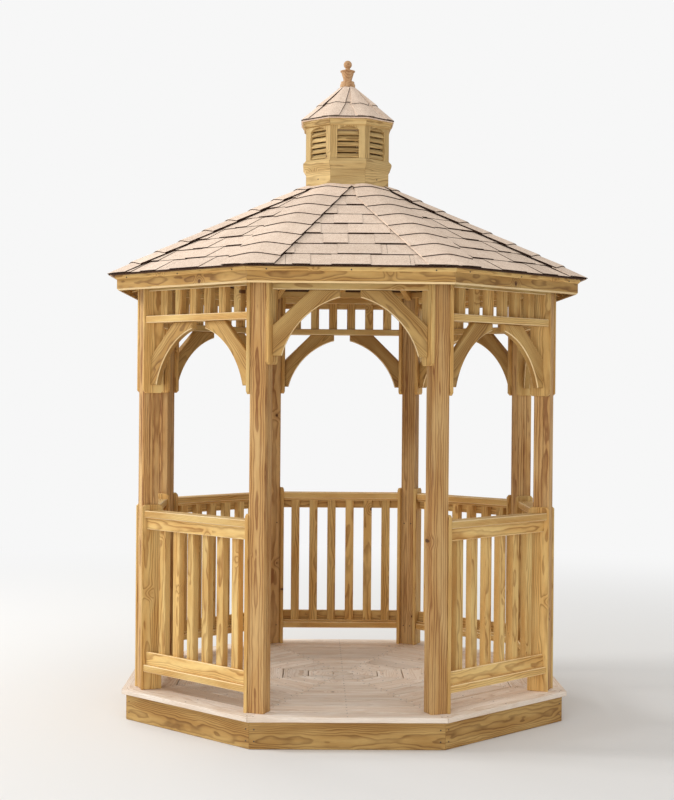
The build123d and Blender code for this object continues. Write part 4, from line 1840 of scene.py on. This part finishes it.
@dataclass
class Studio:
    """The pale floor, the lamps, the plain surroundings and the camera.

    A lamp has a name, a place, a width and a power in watts. The camera is level to a third of a
    degree, a little left of the middle and at eye height.
    """

    floor_colour: tuple = (0.80, 0.79, 0.77)
    floor_reach: float = 30.0
    floor_drop: float = 0.0006
    surround: tuple = (0.93, 0.93, 0.93)
    fade_span: tuple = (2.6, 9.0)
    ambient: float = 0.68
    lamps: tuple = (
        ("key_lamp", (-9.3, 0.2, 7.2), 2.6, 540),
        ("top_lamp", (0.0, -3.5, 9.0), 4.0, 60),
        ("fill_lamp", (-2.4, -9.6, 1.7), 3.6, 175),
        ("rear_lamp", (-4.5, 6.5, 7.0), 4.0, 160),
    )
    aim: tuple = (0, 0, 1.5)
    eye: tuple = (-0.18906, -8.91817, 1.80629)
    yaw: float = math.radians(0.915)
    pitch: float = math.radians(-0.353)
    roll: float = math.radians(0.465)
    sensor: float = 36.0
    lens: float = 69.25

    def build(self) -> None:
        """Build the studio."""
        self.floor()
        self.world()
        for lamp in self.lamps:
            self.lamp(*lamp)
        self.camera()
        bpy.context.scene.view_settings.view_transform = "Standard"

    def floor(self) -> None:
        """Build the floor: a plain sheet just under the skirt, which far off blends into the surround."""
        mesh = bpy.data.meshes.new("studio_floor")
        corners = rectangle(-self.floor_reach, self.floor_reach, -self.floor_reach, self.floor_reach)
        corners = np.column_stack((corners, np.full(4, -self.floor_drop)))
        mesh.from_pydata(corners.tolist(), [], [[0, 1, 2, 3]])
        bench = Paint("studio_floor_paint")
        bench.coat({"Base Color": (*self.floor_colour, 1), "Roughness": 0.95, "Specular IOR Level": 0.1})
        reach = bench.vector("LENGTH", bench.node("TexCoord", {}).outputs["Object"], output="Value")
        share = bench.sum("MULTIPLY", bench.span(reach, *self.fade_span, 0.0, 1.0), bench.mirrored())
        glow = bench.node("Emission", {"Color": (*self.surround, 1), "Strength": 1.0})
        blend = bench.node("MixShader", {0: share, 1: bench.shader.outputs[0], 2: glow.outputs[0]})
        bench.join(bench.surface, blend.outputs[0])
        mesh.materials.append(bench.owner)
        sheet = bpy.data.objects.new("studio_floor", mesh)
        bpy.context.scene.collection.objects.link(sheet)

    def world(self) -> None:
        """Light everything evenly, and show a pale surround to the camera and to what mirrors it."""
        world = bpy.data.worlds.new("studio_world")
        bpy.context.scene.world = world
        bench = Bench(world)
        even = bench.node("Background", {"Color": (1.0, 1.0, 1.0, 1), "Strength": self.ambient})
        pale = bench.node("Background", {"Color": (*self.surround, 1), "Strength": 1.0})
        blend = bench.node("MixShader", {0: bench.mirrored(), 1: even.outputs[0], 2: pale.outputs[0]})
        bench.join(bench.surface, blend.outputs[0])

    def lamp(self, name: str, spot: tuple, size: float, power: float) -> None:
        """Hang a soft square lamp that looks at the gazebo's middle.

        Args:
            name: The lamp's name.
            spot: Where it hangs.
            size: Its width.
            power: Its power in watts.
        """
        light = bpy.data.lights.new(name, "AREA")
        light.size = size
        light.energy = power
        away = np.array(spot) - self.aim
        away /= np.linalg.norm(away)
        side = np.cross(UP, away)
        side /= np.linalg.norm(side)
        self.stand(name, light, spot, (side, np.cross(away, side), away))

    def camera(self) -> None:
        """Place the camera: turned by its yaw, tipped by its pitch, then rolled about its line of sight."""
        yaw, pitch, roll = self.yaw, self.pitch, self.roll
        ahead = np.array((math.sin(yaw) * math.cos(pitch), math.cos(yaw) * math.cos(pitch), math.sin(pitch)))
        level = np.array((math.cos(yaw), -math.sin(yaw), 0.0))
        over = np.cross(level, ahead)
        right = math.cos(roll) * level + math.sin(roll) * over
        top = -math.sin(roll) * level + math.cos(roll) * over
        lens = bpy.data.cameras.new("view")
        lens.sensor_width = self.sensor
        lens.lens = self.lens
        bpy.context.scene.camera = self.stand("view", lens, self.eye, (right, top, -ahead))

    def stand(self, name: str, data: bpy.types.ID, spot: tuple, axes: tuple) -> bpy.types.Object:
        """Make an object of a lamp or a camera and turn it to its three axes.

        Args:
            name: Its name.
            data: The lamp or the camera.
            spot: Where it stands.
            axes: Its unit vectors to the right, up and behind.

        Returns:
            The object.
        """
        made = bpy.data.objects.new(name, data)
        bpy.context.scene.collection.objects.link(made)
        made.matrix_world = Matrix.Translation(spot) @ Matrix(np.column_stack(axes).tolist()).to_4x4()
        return made


def main() -> None:
    """Build the sub-assemblies from the ground up, then the studio."""
    logging.basicConfig(level=logging.INFO, format="%(name)s %(message)s")
    finishes = mix_finishes()
    eaves = Eaves(finishes)
    cupola = Cupola(finishes)
    cap = CapRoof(finishes, cupola.crown_top)
    for part in (
        Platform(finishes),
        Posts(finishes),
        RailingPanels(finishes),
        ValancePanels(finishes),
        CornerBraces(finishes),
        RoofFrame(finishes, eaves),
        eaves,
        ShingledRoof(finishes),
        cupola,
        cap,
        Finial(finishes, cap.top),
        Fixings(finishes, eaves, cupola.curb_high),
        Studio(),
    ):
        part.build()
        LOG.info("%s is built", type(part).__name__)


if __name__ == "__main__":
    main()
